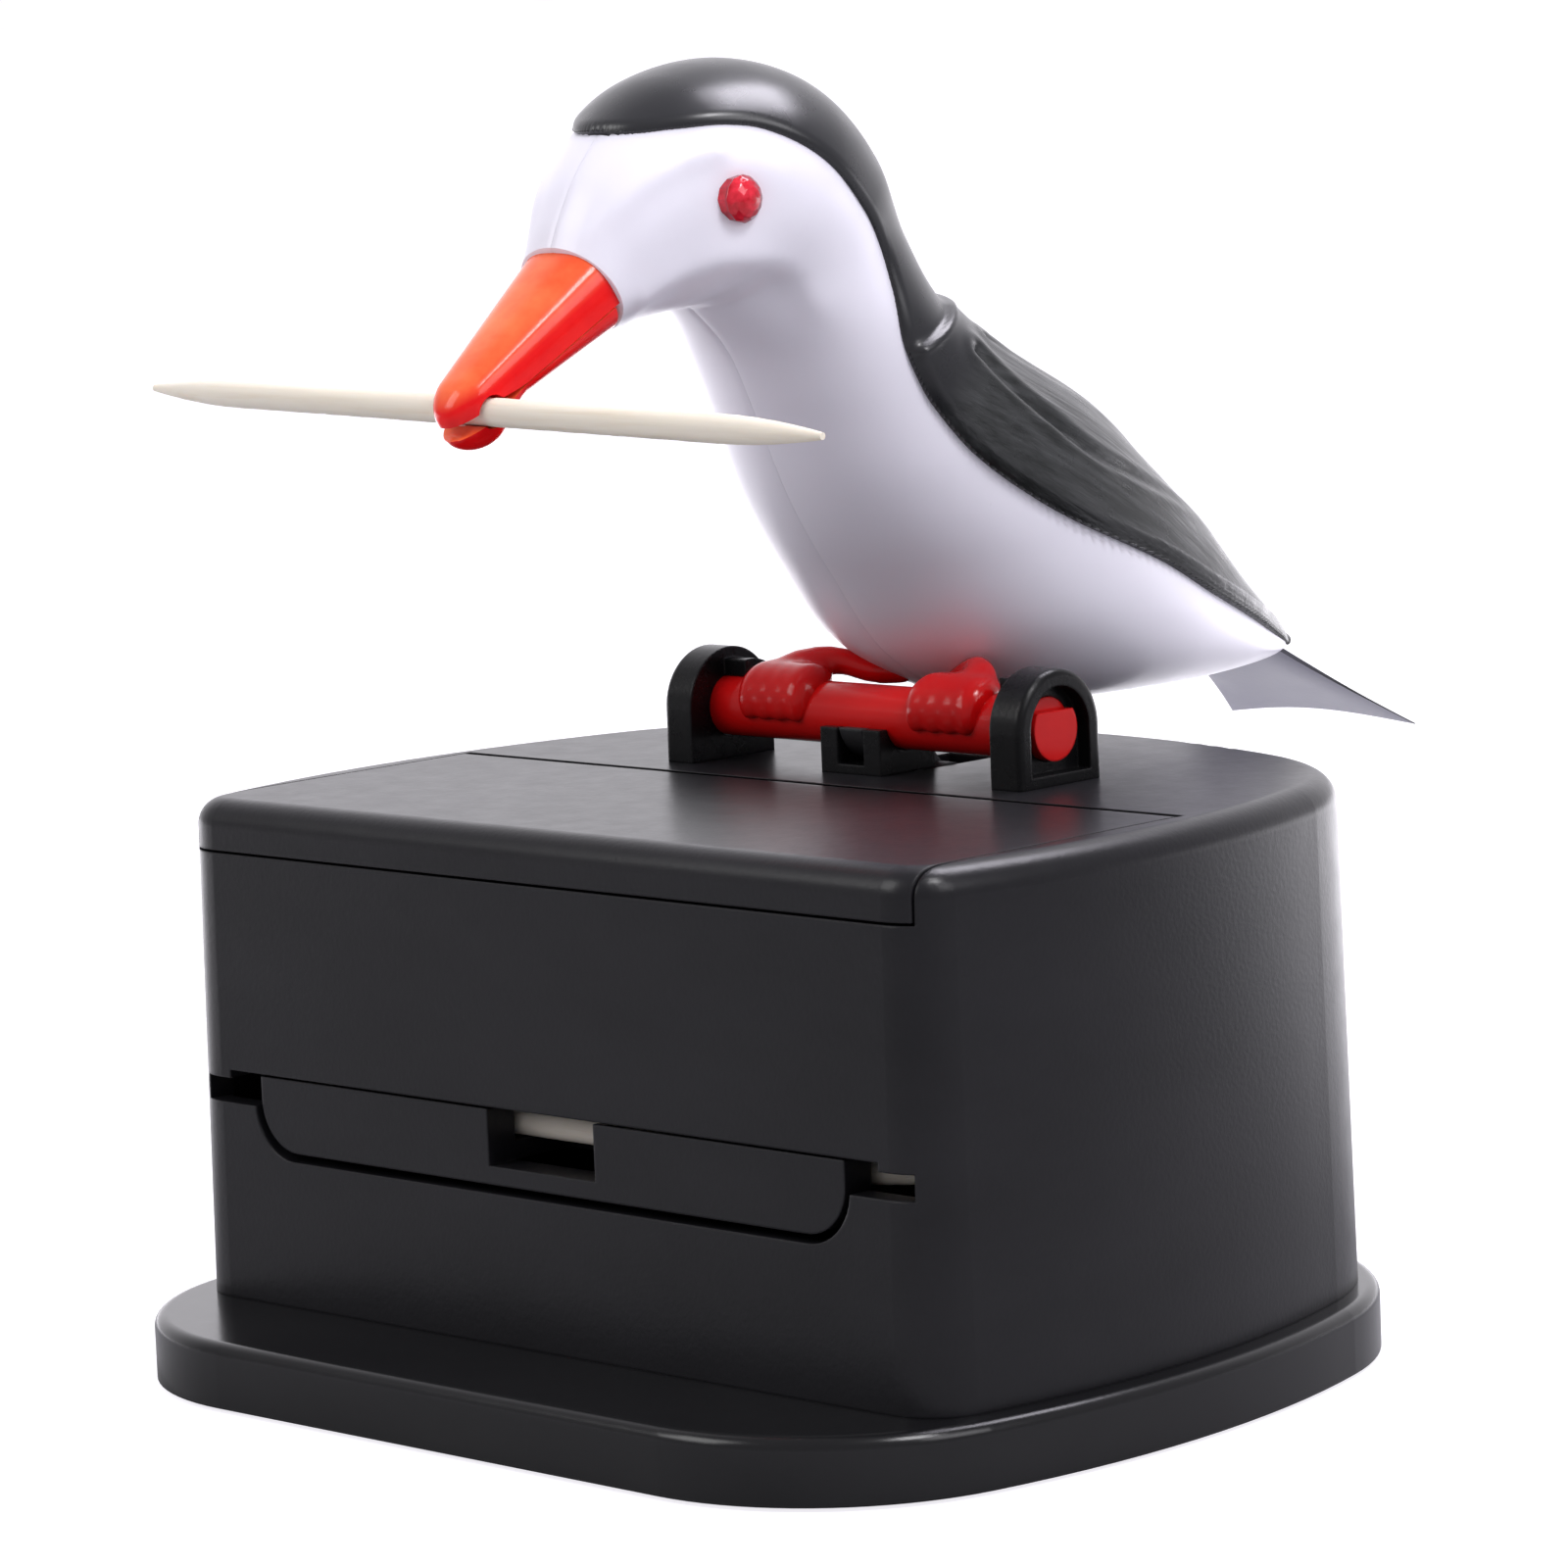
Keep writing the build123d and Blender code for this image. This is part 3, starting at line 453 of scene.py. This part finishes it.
def white_shell(name):
    """Satin white plastic, faintly lavender, with soft flow and light scatter."""
    n = Nodes(name)
    flow = n.noise(38, 3, 0.5)
    n.to("Base Color", n.ramp(flow, (0.83, 0.81, 0.91), (0.865, 0.845, 0.94), 0.3, 0.7))
    scuff = n.noise(300, 3, 0.5)
    n.to("Roughness", n.ramp(scuff, 0.27, 0.33, 0.2, 0.8))
    n.to("Normal", n.bump(n.noise(1800, 2), 0.3, 0.01))
    n.set(Subsurface_Weight=0.12, Subsurface_Radius=(1.0, 0.9, 0.95), Subsurface_Scale=1.5 * MM)
    return n.material


def feathered_cover(name):
    """Satin black cover that carries faint long barbs where its wing attribute is 1."""
    n = Nodes(name)
    flow = n.noise(60, 4, 0.6)
    wing = n.add("ShaderNodeAttribute", attribute_name="wing").outputs["Fac"]
    colour = n.ramp(flow, (0.014, 0.0145, 0.017), (0.022, 0.0225, 0.026), 0.3, 0.7)
    turned = n.add("ShaderNodeMapping")
    turned.inputs["Rotation"].default_value = (math.radians(WING_SLOPE_DEG), 0, 0)
    n.link(n.place, turned.inputs["Vector"])
    drawn = n.add("ShaderNodeMapping")
    drawn.inputs["Scale"].default_value = (1.0, 0.07, 1.0)
    n.link(turned.outputs["Vector"], drawn.inputs["Vector"])
    barbs = n.noise(1300, 4, 0.6, drawn.outputs["Vector"])
    barb_colour = n.ramp(barbs, (0.011, 0.0125, 0.0125), (0.044, 0.046, 0.048), 0.38, 0.68)
    n.to("Base Color", n.mix(wing, colour, barb_colour))
    scuff = n.noise(420, 3, 0.5)
    n.to("Roughness", n.ramp(scuff, 0.25, 0.33, 0.25, 0.75))
    height = n.add("ShaderNodeMath", operation="MULTIPLY")
    n.link(barbs, height.inputs[0])
    n.link(wing, height.inputs[1])
    grain = n.bump(n.noise(2400, 2), 0.25, 0.01)
    n.to("Normal", n.bump(height.outputs["Value"], 0.8, 0.13, grain))
    return n.material


def tail_plastic(name):
    """Black on upward-facing surfaces and a cloudy grey on downward-facing ones."""
    n = Nodes(name)
    geometry = n.add("ShaderNodeNewGeometry")
    split = n.add("ShaderNodeSeparateXYZ")
    n.link(geometry.outputs["Normal"], split.inputs["Vector"])
    above = n.ramp(split.outputs["Z"], 0.0, 1.0, -0.35, 0.15)
    cloud = n.noise(130, 4, 0.6)
    under = n.ramp(cloud, (0.20, 0.195, 0.27), (0.28, 0.275, 0.36), 0.3, 0.7)
    n.to("Base Color", n.mix(above, under, (0.025, 0.025, 0.028)))
    n.to("Roughness", n.ramp(cloud, 0.28, 0.4))
    n.to("Normal", n.bump(n.noise(2000, 2), 0.5, 0.015))
    return n.material


SATIN = moulded("satin_black", (0.008, 0.0078, 0.0095), (0.0115, 0.0112, 0.0135), 0.30,
                wear=0.25, specular=0.27)
GLOSS = moulded("gloss_black", (0.005, 0.005, 0.006), (0.008, 0.008, 0.009), 0.18,
                grain=0.006, wear=0.2, specular=0.38)
BRACKET = moulded("bracket_black", (0.003, 0.003, 0.0035), (0.006, 0.006, 0.0065), 0.27,
                  wear=0.2, specular=0.22)
INNER = moulded("inner_black", (0.012, 0.012, 0.0135), (0.02, 0.02, 0.022), 0.5,
                grain=0.03, wear=0.3)
RED = moulded("perch_red", (0.48, 0.003, 0.004), (0.64, 0.008, 0.007), 0.15,
              grain=0.006, coat=0.1, wear=0.1, specular=0.22, scatter=0.06)
ORANGE = beak_plastic("beak_orange")
EYE_RED = red_glass("eye_red")
WHITE = white_shell("shell_white")
COVER = feathered_cover("cover_black")
TAIL = tail_plastic("tail_plastic")
WOOD = birch("birch")
FOAM = foam_pad("foam")
SCREW = drawn_metal("plated_steel", (0.62, 0.60, 0.55), 0.3)
PIN = drawn_metal("pin_steel", (0.6, 0.6, 0.62), 0.22)
WIRE = drawn_metal("spring_wire", (0.5, 0.5, 0.52), 0.3)


# ---- CAD nodes that stay ----------------------------------------------------------------
def dress_cad():
    """Materials and smooth shading for the CAD nodes that are shown."""
    looks = {
        "base_plate": GLOSS, "non_slip_pad": FOAM, "base_screws": SCREW, "housing": SATIN, "lid": SATIN,
        "lid_hinge_pins": PIN, "hopper": INNER, "stored_toothpicks": WOOD, "feed_tray": SATIN,
        "rocker": INNER, "rocker_pin": PIN, "link_rod": INNER, "return_spring": WIRE,
        "bracket_left": BRACKET, "bracket_right": BRACKET, "centre_guide": BRACKET, "perch_rod": RED,
        "crank_arm": INNER, "jaw_pin": PIN, "jaw_spring": WIRE,
    }
    for name, material in looks.items():
        mesh = NODES[name].data
        mesh.materials.clear()
        mesh.materials.append(material)
        mesh.shade_smooth()
        mesh.set_sharp_from_angle(angle=math.radians(32))


# ---- bird shells ------------------------------------------------------------------------
def surface(at, turn):
    """Points of the bird's skin. turn runs from 0 at the low line to pi at the high line."""
    ring = spline(RINGS, at)
    low, high, half_width = ring[..., 0:2], ring[..., 2:4], ring[..., 4]
    middle, reach = (low + high) / 2, (high - low) / 2
    yz = middle - reach * np.cos(turn)[..., None]
    return np.stack([half_width * np.sin(turn), yz[..., 0], yz[..., 1]], axis=-1)


def outward(at, turn):
    """Unit normals of the skin, turned away from each ring's middle."""
    step = 1e-3
    a = surface(at + step, turn) - surface(at - step, turn)
    b = surface(at, turn + step) - surface(at, turn - step)
    normal = np.cross(b, a)
    length = np.linalg.norm(normal, axis=-1, keepdims=True)
    normal = normal / np.maximum(length, 1e-12)
    ring = spline(RINGS, at)
    middle = (ring[..., 0:2] + ring[..., 2:4]) / 2
    centre = np.stack([0 * middle[..., 0], middle[..., 0], middle[..., 1]], -1)
    facing = np.sign(((surface(at, turn) - centre) * normal).sum(-1, keepdims=True))
    return normal * np.where(facing == 0, 1, facing)


def edge_turn(at):
    """Turn at which each ring meets the cover's edge, pi where it has no cover."""
    edge = along(COVER_EDGE, 400)
    turns = []
    for low_y, low_z, high_y, high_z, _ in spline(RINGS, at):
        across = np.array([high_y - low_y, high_z - low_z])
        rel = edge - np.array([low_y, low_z])
        share = rel @ across / (across @ across)
        side = rel[:, 0] * across[1] - rel[:, 1] * across[0]
        hit = np.nonzero((side[:-1] * side[1:] <= 0) & (share[:-1] > 0) & (share[:-1] < 1))[0]
        if len(hit) == 0:
            turns.append(math.pi)
            continue
        k = hit[0]
        f = side[k] / (side[k] - side[k + 1] + 1e-12)
        turns.append(math.acos(1 - 2 * min(1.0, share[k] + f * (share[k + 1] - share[k]))))
    return np.array(turns)


def mirrored(points):
    """The points with X made positive, so that both sides share one description."""
    out = points.copy()
    out[..., 0] = np.abs(out[..., 0])
    return out


def face_shape(points):
    """Small outward moves of the white skin: brow, eye socket, cheek and the hollow behind it."""
    p = mirrored(points)
    off_middle = smooth_step((p[..., 0] - 2.4) / 2.6)
    brow = 0.36 * bell(gap_to(p, along(BROW, 60)), 1.0) * off_middle
    socket = -0.45 * bell(gap_to(p, np.array([EYE])), 2.6)
    cheek = 0.38 * bell(gap_to(p, along(CHEEK, 60)), 1.3)
    hollow = -0.50 * bell(gap_to(p, np.array([CHEEK_HOLLOW])), 2.6)
    return brow + socket + cheek + hollow


def body_half(side):
    """White half-shell of the bird, closed on the middle plane and sunk under the cover."""
    last = len(RINGS) - 1
    at = np.linspace(0, last, 300)
    turn = np.linspace(0, math.pi, 90)
    grid_at, grid_turn = np.meshgrid(at, turn, indexing="ij")
    skin, normal = surface(grid_at, grid_turn), outward(grid_at, grid_turn)
    under_cover = smooth_step((grid_turn - edge_turn(at)[:, None] - 0.02) / 0.05)
    move = face_shape(skin) - 0.35 * under_cover
    seam = 0.045 * bell(skin[..., 0], 0.20)
    skin = skin + normal * (move - seam)[..., None]
    skin[..., 0] = np.maximum(skin[..., 0], 0.0)
    skin[:, 0, 0] = 0.0
    skin[:, -1, 0] = 0.0
    skin[..., 0] = (skin[..., 0] + SEAM_GAP / 2) * side
    rows, cols = grid_at.shape
    faces = grid_faces(rows, cols)
    for i in range(rows - 1):
        faces.append((i * cols, (i + 1) * cols, (i + 1) * cols + cols - 1, i * cols + cols - 1))
    faces.append(tuple(range(cols)))
    faces.append(tuple((rows - 1) * cols + j for j in range(cols)))
    name, node = ("bird_body_left", "body_left") if side > 0 else ("bird_body_right", "body_right")
    piece = to_mesh(name, skin.reshape(-1, 3), faces, 50)
    return place(piece, WHITE, "bird", "white_body", node)


def wing_relief(points, at, turn):
    """Outward moves of the cover: raised wings, their edge bead and the feather grooves."""
    p = mirrored(points)
    lead_at = WING_LEAD + 0.35 * np.clip(2.2 - turn, 0, 1)
    raised = smooth_step((at - lead_at) / 0.14) * smooth_step((WING_END - at) / 1.8)
    bead = 0.20 * bell((at - lead_at - 0.07) * RING_STEP, 0.40)
    upper = gap_to(p, along(GROOVE_UPPER, 120))
    lower = gap_to(p, along(GROOVE_LOWER, 120))
    grooves = -0.58 * bell(upper, 0.34) - 0.62 * bell(lower, 0.36)
    lips = 0.14 * bell(lower - 0.95, 0.45) + 0.12 * bell(upper - 0.9, 0.45)
    return 0.55 * raised + bead + (grooves + lips) * raised


def back_cover():
    """Black cap, nape and wings in one shell with a rounded, proud edge."""
    last = len(RINGS) - 1
    # The grid starts at the first ring that the cover's edge crosses, with its finest steps there.
    probe = np.linspace(0, 4, 2000)
    start = probe[np.nonzero(edge_turn(probe) < math.pi - 1e-3)[0][0]]
    at = start + (last - start) * np.linspace(0.0, 1.0, 420) ** 1.35
    first = edge_turn(at)
    half = 64                   # points from each edge to the middle line, closest at the edge
    share = np.linspace(0, 1, half) ** 1.6
    share = np.concatenate([share / 2, 1 - share[-2::-1] / 2])
    turn = first[:, None] + (2 * math.pi - 2 * first)[:, None] * share[None, :]
    grid_at = np.broadcast_to(at[:, None], turn.shape)
    skin, normal = surface(grid_at, turn), outward(grid_at, turn)
    rim = np.vstack([skin[:, 0], skin[:, -1]])[::2]
    inward = np.clip(gap_to(skin, rim) / COVER_ROUND, 0, 1)
    proud = COVER_PROUD * np.sqrt(1 - (1 - inward) ** 2)
    relief = wing_relief(skin, grid_at, np.minimum(turn, 2 * math.pi - turn))
    outer = skin + normal * (proud + relief * inward)[..., None]
    inner = skin - normal * COVER_THICK
    verts, faces = sheet_solid(outer, inner)
    piece = to_mesh("bird_cover", verts, faces, 55)
    wing = piece.data.attributes.new("wing", "FLOAT", "POINT")
    co = np.zeros(len(piece.data.vertices) * 3)
    piece.data.vertices.foreach_get("co", co)
    _, y, z = co.reshape(-1, 3).T / MM
    behind = smooth_step((y - 9.0 - 0.9 * (z - 72.0)) / 5.0)
    wing.data.foreach_set("value", behind.astype(np.float32))
    return place(piece, COVER, "bird", "cover_black", "back_cover")


def tail():
    """Thin fanned tail with a cambered section and a slightly hollow rear edge."""
    rows, cols = 60, 48
    s, v = np.meshgrid(np.linspace(0, 1, rows), np.linspace(-1, 1, cols), indexing="ij")
    half_width = 4.4 + 4.7 * s**1.6
    reach = TAIL_LENGTH * s - 1.1 * s * (1 - v**2)
    drop = 0.62 * reach + 0.5 * s * v**2
    y = TAIL_ROOT[0] + TAIL_AHEAD[0] * reach
    z = TAIL_ROOT[1] + TAIL_AHEAD[1] * drop - 0.1 * s**2
    feather = 0.10 * np.cos(v * math.pi * 5) * smooth_step((s - 0.3) / 0.5)
    top = np.stack([half_width * v, y, z + feather], -1)
    thick = 0.55 * (1 - 0.6 * s) * (1 - 0.5 * v**4)
    bottom = np.stack([half_width * v, y - 0.5 * thick, z - thick * 1.4], -1)
    verts, faces = sheet_solid(top, bottom)
    piece = to_mesh("bird_tail", verts, faces, 55)
    return place(piece, TAIL, "bird", "cover_black")


def eye(side):
    """Faceted red dome with a turned rim."""
    sides = 12
    rim = ((1.0, -0.9), (1.0, 0.25), (1.04, 0.42))      # share of EYE_R, distance out
    dome = ((0.97, 0.62), (0.80, 0.95), (0.52, 1.22), (0.20, 1.34))
    rings = []
    for k, (r, out) in enumerate(rim + dome):
        shift = (k % 2) * math.pi / sides if k >= len(rim) else 0.0
        angles = np.linspace(0, 2 * math.pi, sides, endpoint=False) + shift
        x = np.full(sides, side * (EYE_SEAT + out))
        y = EYE[1] + EYE_R * r * np.cos(angles)
        z = EYE[2] + EYE_R * r * np.sin(angles)
        rings.append(np.stack([x, y, z], -1))
    verts, faces = rings_solid(np.array(rings))
    piece = to_mesh("eye_left" if side > 0 else "eye_right", verts, faces, 12)
    bevel = piece.modifiers.new("facets", "BEVEL")
    bevel.width = 0.06 * MM
    bevel.segments = 2
    bevel.limit_method = "ANGLE"
    bevel.angle_limit = math.radians(10)
    return place(piece, EYE_RED, "bird", "eye_red", *(("eyes",) if side > 0 else ()))


# ---- beak -------------------------------------------------------------------------------
def beak_point(a, x, n):
    """Point from the distance along the beak, X, and the height above its axis."""
    y = BEAK_ROOT[0] + a * BEAK_AHEAD[0] + n * BEAK_AHEAD[1]
    z = BEAK_ROOT[1] + a * BEAK_AHEAD[1] - n * BEAK_AHEAD[0]
    return np.stack([x, y, z], -1)


def mandible(name, start, end, side, node):
    """Half of the beak between two distances along it, side 1 above the jaw line and -1 below."""
    rel = np.array(GRIP) - np.array(BEAK_ROOT)
    grip_a = rel @ np.array(BEAK_AHEAD)
    grip_n = rel @ np.array([BEAK_AHEAD[1], -BEAK_AHEAD[0]])
    rows, cols, flat = 170, 44, 14      # rings, points over the crown, points along the jaw
    root, taper = BEAK_UPPER if side > 0 else BEAK_LOWER
    power = 2.7 if side > 0 else 2.3    # 2 is an ellipse, more is squarer
    ease = np.sin(np.linspace(0, math.pi / 2, rows))
    rings = []
    for a in start + (end - start) * ease:
        tip = min(1.0, (end - a) / BEAK_BLUNT)
        blunt = math.sqrt(max(0.0, 1 - (1 - tip) ** 2))
        past_bend = float(smooth_step((a - BEAK_BEND) / BEND_REACH))
        parting = 0.04 + 0.45 * past_bend
        jaw = -0.2 - 0.4 * a / BEAK_LENGTH + side * parting
        near = GROOVE_R**2 - (a - grip_a) ** 2
        if near > 0:
            groove = grip_n + side * math.sqrt(near)
            jaw = max(jaw, groove) if side > 0 else min(jaw, groove)
        crown = (root + taper * a) * blunt
        if side < 0:
            crown += LOWER_DROOP * past_bend * (0.45 + 0.55 * blunt)
        crown = max(crown, abs(jaw) + 0.02)
        rise = math.asin(max(-1.0, min(1.0, side * jaw / crown)))
        angles = np.linspace(rise, math.pi - rise, cols)
        c, s = np.cos(angles), np.sin(angles)
        swell = (np.abs(c) ** power + np.abs(s) ** power) ** (-1 / power)
        x = (BEAK_WIDTH[0] + BEAK_WIDTH[1] * a) * (0.05 + 0.95 * blunt) * c * swell
        n = side * crown * s * swell
        n = np.maximum(n, jaw) if side > 0 else np.minimum(n, jaw)
        floor_x = np.linspace(x[-1], x[0], flat + 2)[1:-1]
        ring_x = np.concatenate([x, floor_x])
        ring_n = np.concatenate([n, np.full(flat, jaw)])
        rings.append(beak_point(np.full(len(ring_x), a), ring_x, ring_n))
    verts, faces = rings_solid(np.array(rings))
    piece = to_mesh(name, verts, faces, 45)
    return place(piece, ORANGE, "bird" if side > 0 else "lower_jaw", "beak_orange", node)


# ---- feet -------------------------------------------------------------------------------
def fused(name, parts, voxel, passes):
    """One smooth skin round several overlapping solids."""
    verts, faces = [], []
    for part_verts, part_faces in parts:
        start = len(verts)
        verts.extend(part_verts)
        faces.extend([tuple(i + start for i in f) for f in part_faces])
    piece = to_mesh(name, verts, faces)
    remesh = piece.modifiers.new("skin", "REMESH")
    remesh.mode = "VOXEL"
    remesh.voxel_size = voxel * MM
    relax = piece.modifiers.new("relax", "SMOOTH")
    relax.iterations = passes
    evaluated = piece.evaluated_get(bpy.context.evaluated_depsgraph_get())
    mesh = bpy.data.meshes.new_from_object(evaluated)
    piece.modifiers.clear()
    piece.data = mesh
    mesh.shade_smooth()
    return piece


def feet():
    """On each side a low foot with four toes over the rod, and an arched leg to the belly."""
    parts = []
    y, z = PERCH
    for side in (-1, 1):
        middle = side * FOOT_X
        for offset in TOE_OFFSETS:
            angles = np.radians(np.linspace(196, 20, 36))   # from below the front over the top
            spread = np.linspace(1.0, 0.6, 36)
            reach = ROD_R - 0.1
            path = [(middle + offset * k, y + reach * math.cos(a), z + reach * math.sin(a))
                    for a, k in zip(angles, spread)]
            swell = 0.5 + 1.05 * np.sin(np.linspace(0.12, math.pi, 36)) ** 1.1
            parts.append(rings_solid(tube(path, swell, 18)))
        leg = [(middle + side * out, y + back, z + up) for out, back, up in LEG_LINE]
        thick = 0.95 + 0.5 * np.linspace(1, 0, 44) ** 2
        parts.append(rings_solid(tube(along(leg, 44), thick, 20)))
    piece = fused("bird_feet_skin", parts, 0.24, 40)
    return place(piece, RED, "bird", "red_gloss", "bird_feet")


# ---- toothpicks -------------------------------------------------------------------------
def toothpick(name, centre, tilt, body, node, seed):
    """Turned toothpick with sharpened ends, slightly bowed and not quite round."""
    rng = np.random.default_rng(seed)
    half = PICK_LENGTH / 2
    shoulder = half - PICK_TAPER
    x = np.concatenate([
        np.linspace(-half, -shoulder, 26), np.linspace(-shoulder, shoulder, 60)[1:-1],
        np.linspace(shoulder, half, 26)])
    taper = np.clip((half - np.abs(x)) / PICK_TAPER, 0, 1)
    radius = PICK_POINT_R + (PICK_R - 0.02 - PICK_POINT_R) * np.sin(taper * math.pi / 2) ** 0.9
    radius *= 1 + 0.008 * rng.normal(size=len(x))
    bow = 0.05 * (1 - (x / half) ** 2)
    lean = math.radians(tilt)
    path = np.stack([centre[0] + x * math.cos(lean), centre[1] + bow, centre[2] - x * math.sin(lean)], -1)
    rings = tube(path, radius, 22)
    piece = to_mesh(name, *rings_solid(rings), 60)
    return place(piece, WOOD, body, "toothpick_wood", node)


dress_cad()
for half_side in (1, -1):
    body_half(half_side)
    eye(half_side)
back_cover()
tail()
mandible("beak_upper", UPPER_START, BEAK_LENGTH - 0.2, 1, "upper_beak")
mandible("beak_lower", LOWER_START, BEAK_LENGTH, -1, "lower_beak")
feet()
toothpick("pick_in_beak", (0.0, *GRIP), GRIP_TILT, "held_pick", "held_toothpick", 3)
queue_low, queue_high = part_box("queued_toothpick")
queue_centre = tuple((queue_low + queue_high) / 2 / MM)
toothpick("pick_in_tray", queue_centre, 0.0, "queued_pick", "queued_toothpick", 5)


# ---- studio -----------------------------------------------------------------------------
BEHIND = (-0.69, 0.72, 0.0)     # away from the camera, where the surroundings are brightest
# The point that the lights face and the floor's size and depth, in metres.
AIM = (0, 0.005, 0.05)
FLOOR_REACH = 6.0
FLOOR_DROP = 0.0001
VIEW_AZIMUTH, VIEW_ELEVATION, VIEW_ROLL = 44.217, 7.745, -2.381     # degrees
VIEW_CENTRE = (0.509, 0.42, 41.186)
VIEW_DISTANCE = 451.15
VIEW_LENS = 146.36              # for a sensor 36 mm wide


def floor():
    """Large pale floor just under the object."""
    mesh = bpy.data.meshes.new("floor")
    square = ((-1, -1), (1, -1), (1, 1), (-1, 1))
    corners = [(FLOOR_REACH * x, FLOOR_REACH * y, -FLOOR_DROP) for x, y in square]
    mesh.from_pydata(corners, [], [(0, 1, 2, 3)])
    piece = bpy.data.objects.new("floor", mesh)
    bpy.context.scene.collection.objects.link(piece)
    n = Nodes("floor_white")
    n.to("Base Color", n.ramp(n.noise(3.0), (0.38, 0.38, 0.39), (0.41, 0.41, 0.42)))
    behind = n.add("ShaderNodeVectorMath", operation="DOT_PRODUCT")
    n.link(n.place, behind.inputs[0])
    behind.inputs[1].default_value = BEHIND
    glow = n.ramp(behind.outputs["Value"], 0.0, 3.2, 0.03, 0.28)
    level = n.add("ShaderNodeMix", B=0.86)      # B is what the camera sees
    n.link(n.add("ShaderNodeLightPath").outputs["Is Camera Ray"], level.inputs["Factor"])
    n.link(glow, level.inputs["A"])
    n.to("Emission Strength", level.outputs["Result"])
    n.set(Roughness=0.8, Specular_IOR_Level=0.1, Emission_Color=(0.97, 0.95, 1.0, 1))
    mesh.materials.append(n.material)


def soft_light(name, direction, distance, size, power, colour=(1, 1, 1)):
    """Rectangular soft light that faces the object, with its distance and size in metres."""
    data = bpy.data.lights.new(name, "AREA")
    data.shape = "RECTANGLE"
    data.size, data.size_y = size
    data.energy = power
    data.color = colour
    lamp = bpy.data.objects.new(name, data)
    bpy.context.scene.collection.objects.link(lamp)
    out = Vector(direction).normalized()
    lamp.location = Vector(AIM) + out * distance
    lamp.rotation_mode = "QUATERNION"
    lamp.rotation_quaternion = out.to_track_quat("Z", "Y")


def surround():
    """World light: white to the camera, brighter behind the object than in front of it."""
    world = bpy.data.worlds.new("studio")
    bpy.context.scene.world = world
    world.use_nodes = True
    tree = world.node_tree
    background = tree.nodes["Background"]
    background.inputs["Color"].default_value = (0.97, 0.95, 1.0, 1)
    coords = tree.nodes.new("ShaderNodeTexCoord")
    toward = tree.nodes.new("ShaderNodeVectorMath")
    toward.operation = "DOT_PRODUCT"
    toward.inputs[1].default_value = BEHIND
    tree.links.new(coords.outputs["Generated"], toward.inputs[0])
    level = tree.nodes.new("ShaderNodeMapRange")
    limits = {"From Min": 0.25, "From Max": 0.9, "To Min": 0.43, "To Max": 1.35}
    for name, value in limits.items():
        level.inputs[name].default_value = value
    tree.links.new(toward.outputs["Value"], level.inputs["Value"])
    path = tree.nodes.new("ShaderNodeLightPath")
    seen = tree.nodes.new("ShaderNodeMix")
    seen.inputs["B"].default_value = 1.06
    tree.links.new(path.outputs["Is Camera Ray"], seen.inputs["Factor"])
    tree.links.new(level.outputs["Result"], seen.inputs["A"])
    tree.links.new(seen.outputs["Result"], background.inputs["Strength"])


def studio():
    """World, four soft lights and plain colour handling."""
    surround()
    soft_light("key", (-0.55, -1.0, 0.75), 0.6, (0.30, 0.30), 1.15)
    soft_light("fill", (0.60, -0.06, 0.80), 0.7, (0.16, 0.16), 2.2, (0.98, 0.97, 1.0))
    soft_light("side", (1.0, 0.10, 0.55), 0.8, (0.40, 0.30), 1.5, (0.97, 0.96, 1.0))
    soft_light("top", (0.05, 0.50, 0.90), 0.5, (0.20, 0.22), 1.8, (0.93, 0.90, 1.0))
    bpy.context.scene.view_settings.view_transform = "Standard"
    bpy.context.scene.view_settings.look = "None"


def camera():
    """Long lens at the front left of the bird, a little above the deck."""
    azimuth, elevation, roll = map(math.radians, (VIEW_AZIMUTH, VIEW_ELEVATION, VIEW_ROLL))
    level = math.cos(elevation)
    back = Vector((math.sin(azimuth) * level, -math.cos(azimuth) * level, math.sin(elevation)))
    right = Vector((math.cos(azimuth), math.sin(azimuth), 0))
    up = back.cross(right)
    c, s = math.cos(roll), math.sin(roll)
    data = bpy.data.cameras.new("camera")
    data.lens = VIEW_LENS
    data.sensor_width = 36
    data.clip_start, data.clip_end = 0.02, 20
    lens = bpy.data.objects.new("camera", data)
    bpy.context.scene.collection.objects.link(lens)
    spot = (Vector(VIEW_CENTRE) + back * VIEW_DISTANCE) * MM
    turn = Matrix((c * right + s * up, -s * right + c * up, back)).transposed()
    lens.matrix_world = Matrix.Translation(spot) @ turn.to_4x4()
    bpy.context.scene.camera = lens


floor()
studio()
camera()
